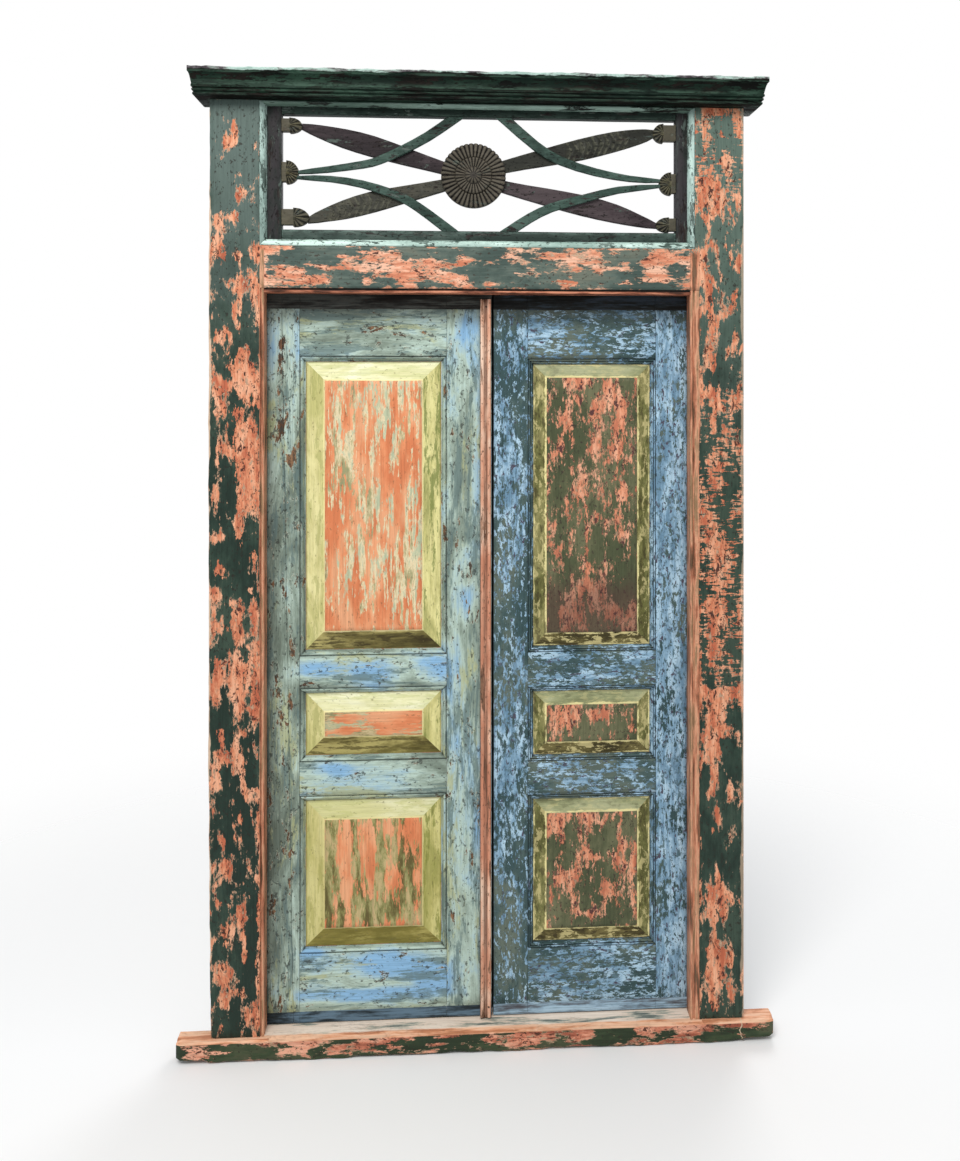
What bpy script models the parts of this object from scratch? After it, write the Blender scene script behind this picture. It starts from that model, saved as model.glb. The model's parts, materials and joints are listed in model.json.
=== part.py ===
"""A double-leaf panelled door in its frame: sill, jambs, head with a cornice, a carved
grille over the transom, and two leaves hung on butt hinges that open towards +Y.
Metres, +Z up, the front faces -Y, the origin is the middle of the sill's underside."""

import math

import bpy
import bmesh

# The gap left between two solids that touch, and the margin that a cutter has past a face.
GAP = 0.0003
OVER = 0.010

# The frame. Its front face is y = 0. Heights are stacked from the sill's underside.
RECESS = 0.050
LEAF_T = 0.044
FRAME_DEPTH = RECESS + LEAF_T
DOOR_HALF = 0.560
JAMB_W = 0.144
JAMB_OUT = DOOR_HALF + JAMB_W
SILL_H = 0.057
DOOR_H = 1.931
DOOR_TOP = SILL_H + DOOR_H
TRANSOM_H = 0.133
TRANSOM_TOP = DOOR_TOP + TRANSOM_H
TRANSOM_FRONT = 0.001
LIGHT_H = 0.360
TONGUE_H = 0.006
HEAD_TONGUE = TRANSOM_TOP + LIGHT_H
HEAD_UNDER = HEAD_TONGUE + TONGUE_H
HEAD_H = 0.072
HEAD_TOP = HEAD_UNDER + HEAD_H

# The sill: its horns, and the worn slope on its front arris between the jambs.
SILL_FRONT = -0.014
HORN_UNDER = 0.011
HORN_REACH = 0.078
HORN_HALF = JAMB_OUT + HORN_REACH
HORN_DEPTH = 0.055
HORN_SLOPE = 0.018
SILL_WEAR_H = 0.0058
SILL_WEAR_D = 0.022
SILL_WEAR_X0 = -DOOR_HALF + 0.010
SILL_WEAR_X1 = DOOR_HALF + 0.036
SILL_WEAR_STOP = 0.020

# The quirked bead on the doorway's arrises, and the stop that the leaves close on.
BEAD_R = 0.0035
BEAD_SET = 0.0045
QUIRK_W = 0.0048
QUIRK_D = 0.0065
FLAT_W = 0.0130
FLAT_D = 0.0020
STOP_LAP = 0.014
STOP_LAP_TOP = 0.012
LEAF_CLEAR = 0.003
ARRIS_LEFT = 0.0100
ARRIS_RIGHT = 0.0030

# The cornice: projection from the head, and height from its foot upwards. The last
# height is the whole moulding's, and it is stretched to the head's own height.
CORNICE = [
    (0.0360, 0.0000), (0.0405, 0.0020), (0.0405, 0.0062), (0.0380, 0.0080),
    (0.0400, 0.0105), (0.0430, 0.0125), (0.0430, 0.0160), (0.0405, 0.0178),
    (0.0420, 0.0200), (0.0450, 0.0215), (0.0450, 0.0262), (0.0435, 0.0278),
    (0.0485, 0.0480), (0.0520, 0.0560), (0.0550, 0.0575), (0.0550, 0.0720),
]
# How far the returns stand out at the two ends, as parts of the front's projection.
CORNICE_LEFT = 0.72
CORNICE_RIGHT = 1.0

# The ovolo beads round the grille: outline in parts of the bead's width, and depth.
RING_LAP = 0.0117
RING_LAP_FOOT = 0.0113
RING_LAP_TOP = 0.0052
RING_HALF = DOOR_HALF + RING_LAP
RING_TOP = HEAD_TONGUE + RING_LAP_TOP
RING_BOTTOM = TRANSOM_TOP - RING_LAP_FOOT
RING_SIDE_W = 0.0180
RING_TOP_W = 0.0120
RING_SEAT = 0.0155
RING_BACK = RING_SEAT - GAP
RING_PROFILE = [
    (0.00, 0.0010), (0.10, -0.0012), (0.32, -0.0022), (0.58, -0.0004),
    (0.80, 0.0040), (0.94, 0.0095), (1.00, 0.0125),
]

# The grille's own frame, and the light inside it.
GRILLE_FRONT = RING_SEAT + 0.0010
GRILLE_T = 0.030
GRILLE_CHAMFER = 0.003
GRILLE_LEFT_W = 0.043
GRILLE_RIGHT_W = 0.037
GRILLE_TOP_W = 0.026
GRILLE_FOOT_W = 0.033
GRILLE_X0 = -DOOR_HALF + GRILLE_LEFT_W
GRILLE_X1 = DOOR_HALF - GRILLE_RIGHT_W
GRILLE_Z0 = TRANSOM_TOP + GRILLE_FOOT_W
GRILLE_Z1 = HEAD_TONGUE - GRILLE_TOP_W

# The bars. Each list is a centre line, in parts of the light's width and height, with
# the bar's width there in metres.
BAR_SET = 0.0011
# A bar's ends run on by BAR_INTO, drawn in to BAR_DRAWN of their width, and are coped to the bosses.
BAR_INTO = 0.014
BAR_DRAWN = 0.6
CURVE_T = 0.0103
CURVE_Y0 = GRILLE_FRONT + BAR_SET
CURVE_Y1 = CURVE_Y0 + CURVE_T
CURVE_CHAMFER = 0.0022
CURVE_UL = [
    (0.0455, 0.5000, 0.0125), (0.1151, 0.5269, 0.0165), (0.2000, 0.5721, 0.0200),
    (0.2426, 0.6130, 0.0215), (0.3029, 0.7086, 0.0235), (0.3646, 0.8259, 0.0250),
    (0.4264, 0.9767, 0.0265), (0.4548, 1.0498, 0.0270),
]
CURVE_LL = [
    (0.0455, 0.4532, 0.0125), (0.1216, 0.4439, 0.0165), (0.2000, 0.4020, 0.0200),
    (0.2727, 0.3276, 0.0220), (0.3180, 0.2558, 0.0235), (0.3646, 0.1488, 0.0250),
    (0.4264, -0.0123, 0.0265), (0.4548, -0.0897, 0.0270),
]
CURVE_UR = [
    (0.9548, 0.4635, 0.0125), (0.8813, 0.4801, 0.0165), (0.7942, 0.5336, 0.0205),
    (0.7029, 0.6309, 0.0225), (0.6402, 0.7581, 0.0250), (0.5631, 0.9847, 0.0265),
    (0.5394, 1.0565, 0.0270),
]
CURVE_LR = [
    (0.9548, 0.4153, 0.0125), (0.8525, 0.3787, 0.0185), (0.7659, 0.3023, 0.0215),
    (0.6801, 0.2159, 0.0235), (0.6231, 0.1189, 0.0255), (0.5713, 0.0010, 0.0265),
    (0.5433, -0.0631, 0.0270),
]
DIAG_T = 0.0120
DIAG_Y0 = CURVE_Y1 + GAP
DIAG_Y1 = DIAG_Y0 + DIAG_T
DIAG_CHAMFER = 0.0024
PLAIN_BAR = [
    (0.0538, 0.9003, 0.0190), (0.0933, 0.8638, 0.0340), (0.1548, 0.8056, 0.0500),
    (0.2242, 0.7419, 0.0550), (0.3096, 0.6545, 0.0460), (0.4036, 0.5598, 0.0330),
    (0.4809, 0.4850, 0.0300), (0.5666, 0.3934, 0.0330), (0.6654, 0.3156, 0.0460),
    (0.7620, 0.2435, 0.0550), (0.8433, 0.1761, 0.0500), (0.9058, 0.1130, 0.0330),
    (0.9452, 0.0738, 0.0190),
]
FEATHER_BAR = [
    (0.0740, 0.0963, 0.0230), (0.1029, 0.1296, 0.0330), (0.1548, 0.1827, 0.0490),
    (0.2242, 0.2525, 0.0550), (0.3096, 0.3256, 0.0450), (0.3985, 0.4010, 0.0330),
    (0.4809, 0.4850, 0.0300), (0.5615, 0.5787, 0.0330), (0.6558, 0.6578, 0.0450),
    (0.7542, 0.7382, 0.0560), (0.8433, 0.8140, 0.0530), (0.9058, 0.8605, 0.0400),
    (0.9385, 0.8854, 0.0270),
]
FEATHER_LEFT = (0.1202, 0.2798)
FEATHER_RIGHT = (0.7240, 0.8856)
FEATHER_N = 10
FEATHER_SWEEP = 0.016
FEATHER_W = 0.0062
FEATHER_DEPTH = 0.0028
HALVING = 0.075
HALVING_CLEAR = 0.0003

# The rosette at the crossing, placed in parts of the light, and the bosses.
ROSE_U = 0.4809
ROSE_V = 0.4867
ROSE_R = 0.0865
ROSE_INNER_R = 0.0470
ROSE_BOSS_R = 0.0205
ROSE_T = 0.0245
ROSE_BACK = DIAG_Y0 - GAP
ROSE_BOSS_FRONT = ROSE_BACK - ROSE_T
ROSE_DISC_FRONT = ROSE_BOSS_FRONT + 0.0035
ROSE_FRONT = ROSE_DISC_FRONT + 0.0050
ROSE_PETALS = 40
ROSE_FLUTES = 30
ROSE_STEPS = 120
ROSE_CUT = 0.0036
BOSS_PROUD = 0.0070
BOSS_Y0 = GRILLE_FRONT - BOSS_PROUD
BOSS_Y1 = DIAG_Y1 + 0.0004
BOSS_RIB = 0.0030
# Each boss: the stile it stands on, block reach, whole reach, its middle in parts of the
# light's height, its own height, and ribs.
BOSSES = {
    "boss_side_left": (1, 0.0120, 0.0425, 0.4992, 0.0605, 11),
    "boss_side_right": (-1, 0.0120, 0.0425, 0.4394, 0.0605, 11),
    "boss_upper_left": (1, 0.0200, 0.0520, 0.9070, 0.0390, 7),
    "boss_lower_left": (1, 0.0300, 0.0700, 0.1080, 0.0490, 7),
    "boss_upper_right": (-1, 0.0330, 0.0600, 0.8870, 0.0500, 7),
    "boss_lower_right": (-1, 0.0180, 0.0520, 0.0731, 0.0400, 7),
}

# The leaves. LEAF_FRONT is the plane of their stiles.
LEAF_FRONT = RECESS
LEAF_OUT = DOOR_HALF + STOP_LAP - LEAF_CLEAR
LEAF_Z0 = SILL_H + LEAF_CLEAR
LEAF_Z1 = DOOR_TOP + STOP_LAP_TOP - LEAF_CLEAR
# The meeting edges lean together towards the back, so each leaf clears the other as it swings.
MEET_X = 0.0320
MEET_GAP = 0.0054
MEET_LEAN = 0.0023
MEET_LEFT = MEET_X
MEET_RIGHT = MEET_X + MEET_GAP
STICK_W = 0.0150
HINGE_STILE_W = 0.0955
LEFT_MEETING_W = 0.1195
RIGHT_MEETING_W = 0.0915
LEFT_SHOULDERS = (-LEAF_OUT + HINGE_STILE_W, MEET_LEFT - LEFT_MEETING_W)
RIGHT_SHOULDERS = (MEET_RIGHT + RIGHT_MEETING_W, LEAF_OUT - HINGE_STILE_W)
# From the foot up: bottom rail, lower panel, low rail, middle panel, lock rail; and the
# top rail, from the leaf's head down. The upper panel takes what is left.
LEFT_HEIGHTS = (0.198, 0.388, 0.119, 0.166, 0.114)
LEFT_TOP_RAIL = 0.187
RIGHT_HEIGHTS = (0.192, 0.381, 0.120, 0.1705, 0.1225)
RIGHT_TOP_RAIL = 0.194
LEFT_BEVEL = 0.0510
RIGHT_BEVEL = 0.0360
LIP = 0.0105
TONGUE_FRONT = 0.0125
TONGUE_T = 0.0084
TONGUE_BACK = TONGUE_FRONT + TONGUE_T
TONGUE_OUT = 0.0080
BEVEL_TOP = 0.0052
FIELD = 0.0025
# The sticking: distance out from the opening, and depth behind the leaf's face.
LEFT_STICK = [
    (STICK_W, 0.0034), (0.0128, 0.0034), (0.0122, 0.0012), (0.0100, 0.0006),
    (0.0075, 0.0020), (0.0052, 0.0048), (0.0038, 0.0082), (0.0034, LIP),
]
RIGHT_STICK = [
    (STICK_W, 0.0032), (0.0131, 0.0032), (0.0126, 0.0010), (0.0098, 0.0012),
    (0.0092, 0.0048), (0.0074, 0.0048), (0.0069, 0.0028), (0.0044, 0.0040),
    (0.0026, 0.0078), (0.0022, LIP),
]
BAND_DEPTH = 0.0045
BAND_SLOPE = 0.0120
FOOT_BAND = LEAF_Z0 + 0.041
HEAD_BAND = DOOR_TOP - 0.051
STRIP_TOP_W = 0.0487
STRIP_FOOT_W = 0.0797
STRIP_TOP_X = -LEAF_OUT + STRIP_TOP_W
STRIP_FOOT_X = -LEAF_OUT + STRIP_FOOT_W

# The astragal on the left leaf's meeting stile: across its face, and height above it.
ASTRAGAL_W = 0.0290
ASTRAGAL_SET = 0.0015
ASTRAGAL_X0 = MEET_LEFT - ASTRAGAL_SET - ASTRAGAL_W
ASTRAGAL_Z0 = SILL_H + 0.004
ASTRAGAL_Z1 = DOOR_TOP - 0.012
ASTRAGAL = [
    (0.0000, 0.0060), (0.0018, 0.0090), (0.0050, 0.0102), (0.0082, 0.0090),
    (0.0098, 0.0062), (0.0112, 0.0058), (0.0130, 0.0080), (0.0160, 0.0080),
    (0.0178, 0.0058), (0.0192, 0.0062), (0.0208, 0.0090), (0.0240, 0.0102),
    (0.0272, 0.0090), (ASTRAGAL_W, 0.0060),
]

# The butt hinges on the back face.
KNUCKLE_R = 0.0056
KNUCKLE_H = 0.0300
KNUCKLE_OFF = 0.0019
PIN_X = LEAF_OUT + LEAF_CLEAR / 2
PIN_Y = FRAME_DEPTH + KNUCKLE_R + KNUCKLE_OFF
PIN_R = 0.0030
PIN_FIT = 0.0002
PLATE_T = 0.0022
PLATE_REACH = 0.0400
PLATE_ROOT = 0.0070
PIN_HEAD = 0.0030
HINGE_Z = [SILL_H + 0.243, (SILL_H + DOOR_TOP) / 2 + 0.0075, DOOR_TOP - 0.228]
ROUND = 12


def material(name, color, rough, metallic=0.0):
    mat = bpy.data.materials.new(name)
    mat.use_nodes = True
    shader = mat.node_tree.nodes["Principled BSDF"]
    shader.inputs["Base Color"].default_value = (color[0], color[1], color[2], 1.0)
    shader.inputs["Roughness"].default_value = rough
    shader.inputs["Metallic"].default_value = metallic
    return mat


def clear_scene():
    for obj in list(bpy.data.objects):
        bpy.data.objects.remove(obj, do_unlink=True)


def solid(name, verts, faces, mat):
    """A closed mesh object whose faces all point outwards."""
    mesh = bpy.data.meshes.new(name)
    mesh.from_pydata([tuple(v) for v in verts], [], [tuple(f) for f in faces])
    work = bmesh.new()
    work.from_mesh(mesh)
    bmesh.ops.recalc_face_normals(work, faces=work.faces[:])
    work.to_mesh(mesh)
    work.free()
    obj = bpy.data.objects.new(name, mesh)
    bpy.context.scene.collection.objects.link(obj)
    if mat is not None:
        mesh.materials.append(mat)
    return obj


def prism(name, outline, low, high, axis, mat):
    """An outline pushed along X, Y or Z. It is given in the other two axes, in order."""
    def place(point, along):
        a, b = point
        if axis == "X":
            return (along, a, b)
        if axis == "Y":
            return (a, along, b)
        return (a, b, along)
    n = len(outline)
    verts = [place(p, low) for p in outline] + [place(p, high) for p in outline]
    faces = [tuple(range(n)), tuple(range(2 * n - 1, n - 1, -1))]
    for i in range(n):
        j = (i + 1) % n
        faces.append((i, j, n + j, n + i))
    return solid(name, verts, faces, mat)


def box(name, x0, x1, y0, y1, z0, z1, mat):
    return prism(name, [(x0, y0), (x1, y0), (x1, y1), (x0, y1)], z0, z1, "Z", mat)


def as_cutter(obj):
    obj.hide_render = True
    obj.display_type = "WIRE"
    return obj


def boolean(obj, other, kind):
    mod = obj.modifiers.new(kind.lower(), "BOOLEAN")
    mod.operation = kind
    mod.solver = "EXACT"
    mod.object = as_cutter(other)


def merged(name, parts, mat=None):
    """Several closed meshes that don't meet, as one object."""
    verts, faces = [], []
    for obj in parts:
        base = len(verts)
        verts += [tuple(v.co) for v in obj.data.vertices]
        faces += [tuple(base + i for i in p.vertices) for p in obj.data.polygons]
        bpy.data.objects.remove(obj, do_unlink=True)
    return solid(name, verts, faces, mat)


def ring(name, x0, x1, z0, z1, profile, mat=None):
    """A mitred rectangular ring. The profile is (distance out from the opening, y)."""
    corners = [(x0, z0, -1, -1), (x1, z0, 1, -1), (x1, z1, 1, 1), (x0, z1, -1, 1)]
    n = len(profile)
    verts = []
    for cx, cz, sx, sz in corners:
        for out, y in profile:
            verts.append((cx + sx * out, y, cz + sz * out))
    faces = []
    for c in range(4):
        d = (c + 1) % 4
        for i in range(n):
            j = (i + 1) % n
            faces.append((c * n + i, c * n + j, d * n + j, d * n + i))
    return solid(name, verts, faces, mat)


def smooth_line(points, steps):
    """A Catmull-Rom line through points of (x, z, width), with steps in each span."""
    out = []
    n = len(points)
    for i in range(n - 1):
        p0 = points[max(i - 1, 0)]
        p1 = points[i]
        p2 = points[i + 1]
        p3 = points[min(i + 2, n - 1)]
        for s in range(steps):
            t = s / steps
            row = []
            for k in range(3):
                a = 2 * p1[k]
                b = (p2[k] - p0[k]) * t
                c = (2 * p0[k] - 5 * p1[k] + 4 * p2[k] - p3[k]) * t * t
                d = (3 * p1[k] - p0[k] - 3 * p2[k] + p3[k]) * t * t * t
                row.append(0.5 * (a + b + c + d))
            out.append(tuple(row))
    out.append(points[-1])
    return out


def in_light(u, v):
    """A place in the grille's plane, from parts of the light's width and height."""
    return GRILLE_X0 + u * (GRILLE_X1 - GRILLE_X0), GRILLE_Z0 + v * (GRILLE_Z1 - GRILLE_Z0)


def placed(points):
    return [in_light(u, v) + (w,) for u, v, w in points]


def run_on(line):
    """A bar's line with its two ends carried straight on and drawn in."""
    for end, inner in ((0, 1), (-1, -2)):
        x, z, w = line[end]
        x2, z2 = line[inner][:2]
        part = 1 + BAR_INTO / math.hypot(x - x2, z - z2)
        line[end] = (x2 + (x - x2) * part, z2 + (z - z2) * part, w * BAR_DRAWN)
    return line


def bar(name, points, y0, y1, chamfer, steps, mat):
    """A bar that follows a line in the plane of the grille, its front arrises chamfered."""
    line = run_on(smooth_line(placed(points), steps))
    n = len(line)
    verts = []
    for i, (x, z, w) in enumerate(line):
        ax, az = line[max(i - 1, 0)][:2]
        bx, bz = line[min(i + 1, n - 1)][:2]
        length = math.hypot(bx - ax, bz - az)
        nx, nz = -(bz - az) / length, (bx - ax) / length
        h = w / 2
        section = [
            (-h, y1), (-h, y0 + chamfer), (-h + chamfer, y0),
            (h - chamfer, y0), (h, y0 + chamfer), (h, y1),
        ]
        for across, y in section:
            verts.append((x + nx * across, y, z + nz * across))
    m = 6
    faces = [tuple(range(m)), tuple((n - 1) * m + k for k in range(m - 1, -1, -1))]
    for i in range(n - 1):
        for k in range(m):
            l = (k + 1) % m
            faces.append((i * m + k, i * m + l, (i + 1) * m + l, (i + 1) * m + k))
    return solid(name, verts, faces, mat)


def at_x(points, x):
    """Height and width of a bar's line at x."""
    line = smooth_line(placed(points), 6)
    for a, b in zip(line, line[1:]):
        if min(a[0], b[0]) <= x <= max(a[0], b[0]):
            t = (x - a[0]) / (b[0] - a[0])
            return a[1] + t * (b[1] - a[1]), a[2] + t * (b[2] - a[2])
    return line[-1][1], line[-1][2]


def doorway_bead(side, flat_w, flat_d):
    """The outline that a cutter takes off a jamb's inner front arris."""
    c = DOOR_HALF + BEAD_R
    quirk = DOOR_HALF + 2 * BEAD_R
    arc = []
    for k in range(7):
        a = math.pi * k / 6
        arc.append((c + BEAD_R * math.cos(a), BEAD_SET - BEAD_R * math.sin(a)))
    line = []
    if flat_w > 0:
        line += [(quirk + QUIRK_W + flat_w, -OVER), (quirk + QUIRK_W + flat_w, flat_d)]
        line += [(quirk + QUIRK_W, flat_d)]
    else:
        line += [(quirk + QUIRK_W * 0.5, -OVER)]
    w = QUIRK_W if flat_w > 0 else QUIRK_W * 0.5
    line += [(quirk + w, QUIRK_D), (quirk, QUIRK_D)]
    line += arc
    line += [(DOOR_HALF - OVER, BEAD_SET), (DOOR_HALF - OVER, -OVER)]
    return [(side * x, y) for x, y in line]


def make_jamb(name, side, flat_w, flat_d, arris, mat):
    x0 = DOOR_HALF
    x1 = JAMB_OUT
    foot = SILL_H + GAP
    top = HEAD_UNDER - GAP
    outline = [(x0, 0.0), (x1 - arris, 0.0), (x1, arris * 0.35), (x1, FRAME_DEPTH), (x0, FRAME_DEPTH)]
    jamb = prism(name, [(side * x, y) for x, y in outline], foot, top, "Z", mat)
    bead = prism(name + "_cut_bead", doorway_bead(side, flat_w, flat_d), foot - OVER,
                 DOOR_TOP + 2 * BEAD_R + QUIRK_W, "Z", None)
    stop = sorted([side * (x0 - OVER), side * (x0 + STOP_LAP)])
    rebate = box(name + "_cut_stop", stop[0], stop[1], LEAF_FRONT - GAP, FRAME_DEPTH + OVER,
                 foot - OVER, DOOR_TOP + STOP_LAP_TOP, None)
    seat = sorted([side * (x0 - OVER), side * (RING_HALF + GAP)])
    upper = box(name + "_cut_seat", seat[0], seat[1], -OVER, RING_SEAT,
                RING_BOTTOM - GAP, top + OVER, None)
    cutter = merged(name + "_cutter", [bead, rebate, upper])
    boolean(jamb, cutter, "DIFFERENCE")
    return jamb


def make_sill(mat):
    """The sill: horns that lap over the wall, and a worn slope on its arris between the jambs."""
    neck = SILL_FRONT + HORN_DEPTH
    plan = [
        (-HORN_HALF, SILL_FRONT), (HORN_HALF, SILL_FRONT), (HORN_HALF, neck),
        (JAMB_OUT, neck), (JAMB_OUT, FRAME_DEPTH), (-JAMB_OUT, FRAME_DEPTH), (-JAMB_OUT, neck),
        (-HORN_HALF, neck),
    ]
    sill = prism("sill", plan, 0.0, SILL_H, "Z", mat)
    cuts = []
    for side in (-1, 1):
        end = side * (HORN_HALF + OVER)
        under = [
            (end, -OVER), (side * (JAMB_OUT - HORN_SLOPE), -OVER),
            (side * JAMB_OUT, HORN_UNDER), (end, HORN_UNDER),
        ]
        cuts.append(prism("horn%d" % side, under, SILL_FRONT - OVER, neck + OVER, "Y", None))
    y_out, z_out = SILL_FRONT - OVER, SILL_H + OVER
    slope_out = SILL_H - SILL_WEAR_H - OVER * SILL_WEAR_H / SILL_WEAR_D
    slope_up = SILL_FRONT + SILL_WEAR_D + OVER * SILL_WEAR_D / SILL_WEAR_H
    verts = []
    for x, stop in ((SILL_WEAR_X0, SILL_WEAR_STOP), (SILL_WEAR_X1, -SILL_WEAR_STOP)):
        verts += [(x, y_out, slope_out), (x, y_out, z_out), (x + stop, slope_up, z_out)]
    faces = [(0, 1, 2), (5, 4, 3), (0, 3, 4, 1), (1, 4, 5, 2), (2, 5, 3, 0)]
    cuts.append(solid("wear", verts, faces, None))
    boolean(sill, merged("sill_cutter", cuts), "DIFFERENCE")
    return sill


def make_head(mat):
    inner = DOOR_HALF - GAP
    outline = [
        (-JAMB_OUT, HEAD_UNDER), (-inner, HEAD_UNDER), (-inner, HEAD_TONGUE),
        (inner, HEAD_TONGUE), (inner, HEAD_UNDER), (JAMB_OUT, HEAD_UNDER),
        (JAMB_OUT, HEAD_TOP), (-JAMB_OUT, HEAD_TOP),
    ]
    head = prism("head_beam", outline, 0.0, FRAME_DEPTH, "Y", mat)
    seat = box("head_cutter", -DOOR_HALF - OVER, DOOR_HALF + OVER, -OVER, RING_SEAT,
               HEAD_TONGUE - OVER, HEAD_UNDER, None)
    boolean(head, seat, "DIFFERENCE")
    return head


def make_cornice(mat):
    section = [(GAP, 0.0)] + CORNICE + [(GAP, CORNICE[-1][1])]
    base = HEAD_UNDER
    height = HEAD_TOP - HEAD_UNDER
    scale = height / CORNICE[-1][1]
    n = len(section)
    verts = []
    for leg in range(4):
        for p, h in section:
            z = base + h * scale
            if leg == 0:
                verts.append((-JAMB_OUT - p * CORNICE_LEFT, FRAME_DEPTH, z))
            elif leg == 1:
                verts.append((-JAMB_OUT - p * CORNICE_LEFT, -p, z))
            elif leg == 2:
                verts.append((JAMB_OUT + p * CORNICE_RIGHT, -p, z))
            else:
                verts.append((JAMB_OUT + p * CORNICE_RIGHT, FRAME_DEPTH, z))
    faces = [tuple(range(n)), tuple(3 * n + k for k in range(n - 1, -1, -1))]
    for leg in range(3):
        for k in range(n):
            l = (k + 1) % n
            faces.append((leg * n + k, leg * n + l, (leg + 1) * n + l, (leg + 1) * n + k))
    return solid("cornice", verts, faces, mat)


def make_transom(mat):
    inner = DOOR_HALF - GAP
    c = DOOR_TOP + BEAD_R
    quirk = DOOR_TOP + 2 * BEAD_R
    face = TRANSOM_FRONT
    outline = [(face, TRANSOM_TOP), (FRAME_DEPTH, TRANSOM_TOP)]
    outline += [(FRAME_DEPTH, DOOR_TOP + STOP_LAP_TOP), (LEAF_FRONT - GAP, DOOR_TOP + STOP_LAP_TOP)]
    outline += [(LEAF_FRONT - GAP, DOOR_TOP)]
    for k in range(7):
        a = -math.pi / 2 + math.pi * k / 6
        outline.append((face + BEAD_R - BEAD_R * math.cos(a), c + BEAD_R * math.sin(a)))
    outline += [(face + QUIRK_D, quirk), (face + QUIRK_D, quirk + QUIRK_W), (face, quirk + QUIRK_W)]
    rail = prism("transom_rail", outline, -inner, inner, "X", mat)
    seat = box("transom_cutter", -DOOR_HALF - OVER, DOOR_HALF + OVER, -OVER, RING_SEAT,
               RING_BOTTOM - GAP, TRANSOM_TOP + OVER, None)
    boolean(rail, seat, "DIFFERENCE")
    return rail


def make_ring_beads(mat):
    """Four mitred beads round the grille, each a closed solid with a gap at its mitres."""
    x0, x1, z0, z1 = -RING_HALF, RING_HALF, RING_BOTTOM, RING_TOP
    outer = [(x0, z0), (x1, z0), (x1, z1), (x0, z1)]
    w, t = RING_SIDE_W, RING_TOP_W
    inner = [(x0 + w, z0 + w), (x1 - w, z0 + w), (x1 - w, z1 - t), (x0 + w, z1 - t)]
    names = ["bead_bottom", "bead_right", "bead_top", "bead_left"]
    profile = [(0.0, RING_BACK)] + RING_PROFILE + [(1.0, RING_BACK)]
    n = len(profile)
    for side in range(4):
        a, b = side, (side + 1) % 4
        dx = outer[b][0] - outer[a][0]
        dz = outer[b][1] - outer[a][1]
        length = math.hypot(dx, dz)
        ux, uz = dx / length * GAP * 0.75, dz / length * GAP * 0.75
        verts = []
        for c, s in ((a, 1), (b, -1)):
            for f, y in profile:
                x = outer[c][0] + f * (inner[c][0] - outer[c][0]) + s * ux
                z = outer[c][1] + f * (inner[c][1] - outer[c][1]) + s * uz
                verts.append((x, y, z))
        faces = [tuple(range(n)), tuple(range(2 * n - 1, n - 1, -1))]
        for i in range(n):
            j = (i + 1) % n
            faces.append((i, j, n + j, n + i))
        solid(names[side], verts, faces, mat)


def make_grille_frame(mat):
    y0, y1 = GRILLE_FRONT, GRILLE_FRONT + GRILLE_T
    out = DOOR_HALF - GAP
    low, high = TRANSOM_TOP + GAP, HEAD_TONGUE - GAP
    ch = GRILLE_CHAMFER
    left = [(-out, y0), (GRILLE_X0 - ch, y0), (GRILLE_X0, y0 + ch), (GRILLE_X0, y1), (-out, y1)]
    right = [(out, y0), (GRILLE_X1 + ch, y0), (GRILLE_X1, y0 + ch), (GRILLE_X1, y1), (out, y1)]
    prism("grille_stile_left", left, low, high, "Z", mat)
    prism("grille_stile_right", right, low, high, "Z", mat)
    top = [(y0, high), (y0, GRILLE_Z1 + ch), (y0 + ch, GRILLE_Z1), (y1, GRILLE_Z1), (y1, high)]
    foot = [(y0, low), (y0, GRILLE_Z0 - ch), (y0 + ch, GRILLE_Z0), (y1, GRILLE_Z0), (y1, low)]
    prism("grille_rail_top", top, GRILLE_X0 + GAP, GRILLE_X1 - GAP, "X", mat)
    prism("grille_rail_bottom", foot, GRILLE_X0 + GAP, GRILLE_X1 - GAP, "X", mat)


def fan_line(spec, grow=0.0):
    """The round outline of a boss's fan, grown by a clearance."""
    side, block, reach, middle, height, ribs = spec
    root = (GRILLE_X0 if side > 0 else GRILLE_X1) + side * block
    cz = in_light(0, middle)[1]
    line = []
    for k in range(2 * ribs + 1):
        a = -math.pi / 2 + math.pi * k / (2 * ribs)
        line.append((root + side * (reach - block + grow) * math.cos(a), cz + (height / 2 + grow) * math.sin(a)))
    return line


def cope(obj, bosses):
    """Cuts a bar's ends to the outlines of the bosses that hold them."""
    for boss in bosses:
        cutter = prism(obj.name + "_" + boss + "_cutter", fan_line(BOSSES[boss], GAP), CURVE_Y0 - OVER,
                       BOSS_Y1 + OVER, "Y", None)
        boolean(obj, cutter, "DIFFERENCE")


def make_curved_bars(mat):
    for name, points, above in (
        ("curved_bar_upper_left", CURVE_UL, True), ("curved_bar_lower_left", CURVE_LL, False),
        ("curved_bar_upper_right", CURVE_UR, True), ("curved_bar_lower_right", CURVE_LR, False),
    ):
        obj = bar(name, points, CURVE_Y0, CURVE_Y1, CURVE_CHAMFER, 2, mat)
        cope(obj, ["boss_side_left" if name.endswith("left") else "boss_side_right"])
        if above:
            z0, z1 = GRILLE_Z1 - GAP, GRILLE_Z1 + LIGHT_H
        else:
            z0, z1 = GRILLE_Z0 - LIGHT_H, GRILLE_Z0 + GAP
        end = box(name + "_cutter", -DOOR_HALF, DOOR_HALF, CURVE_Y0 - OVER, CURVE_Y1 + OVER, z0, z1, None)
        boolean(obj, end, "DIFFERENCE")


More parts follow.
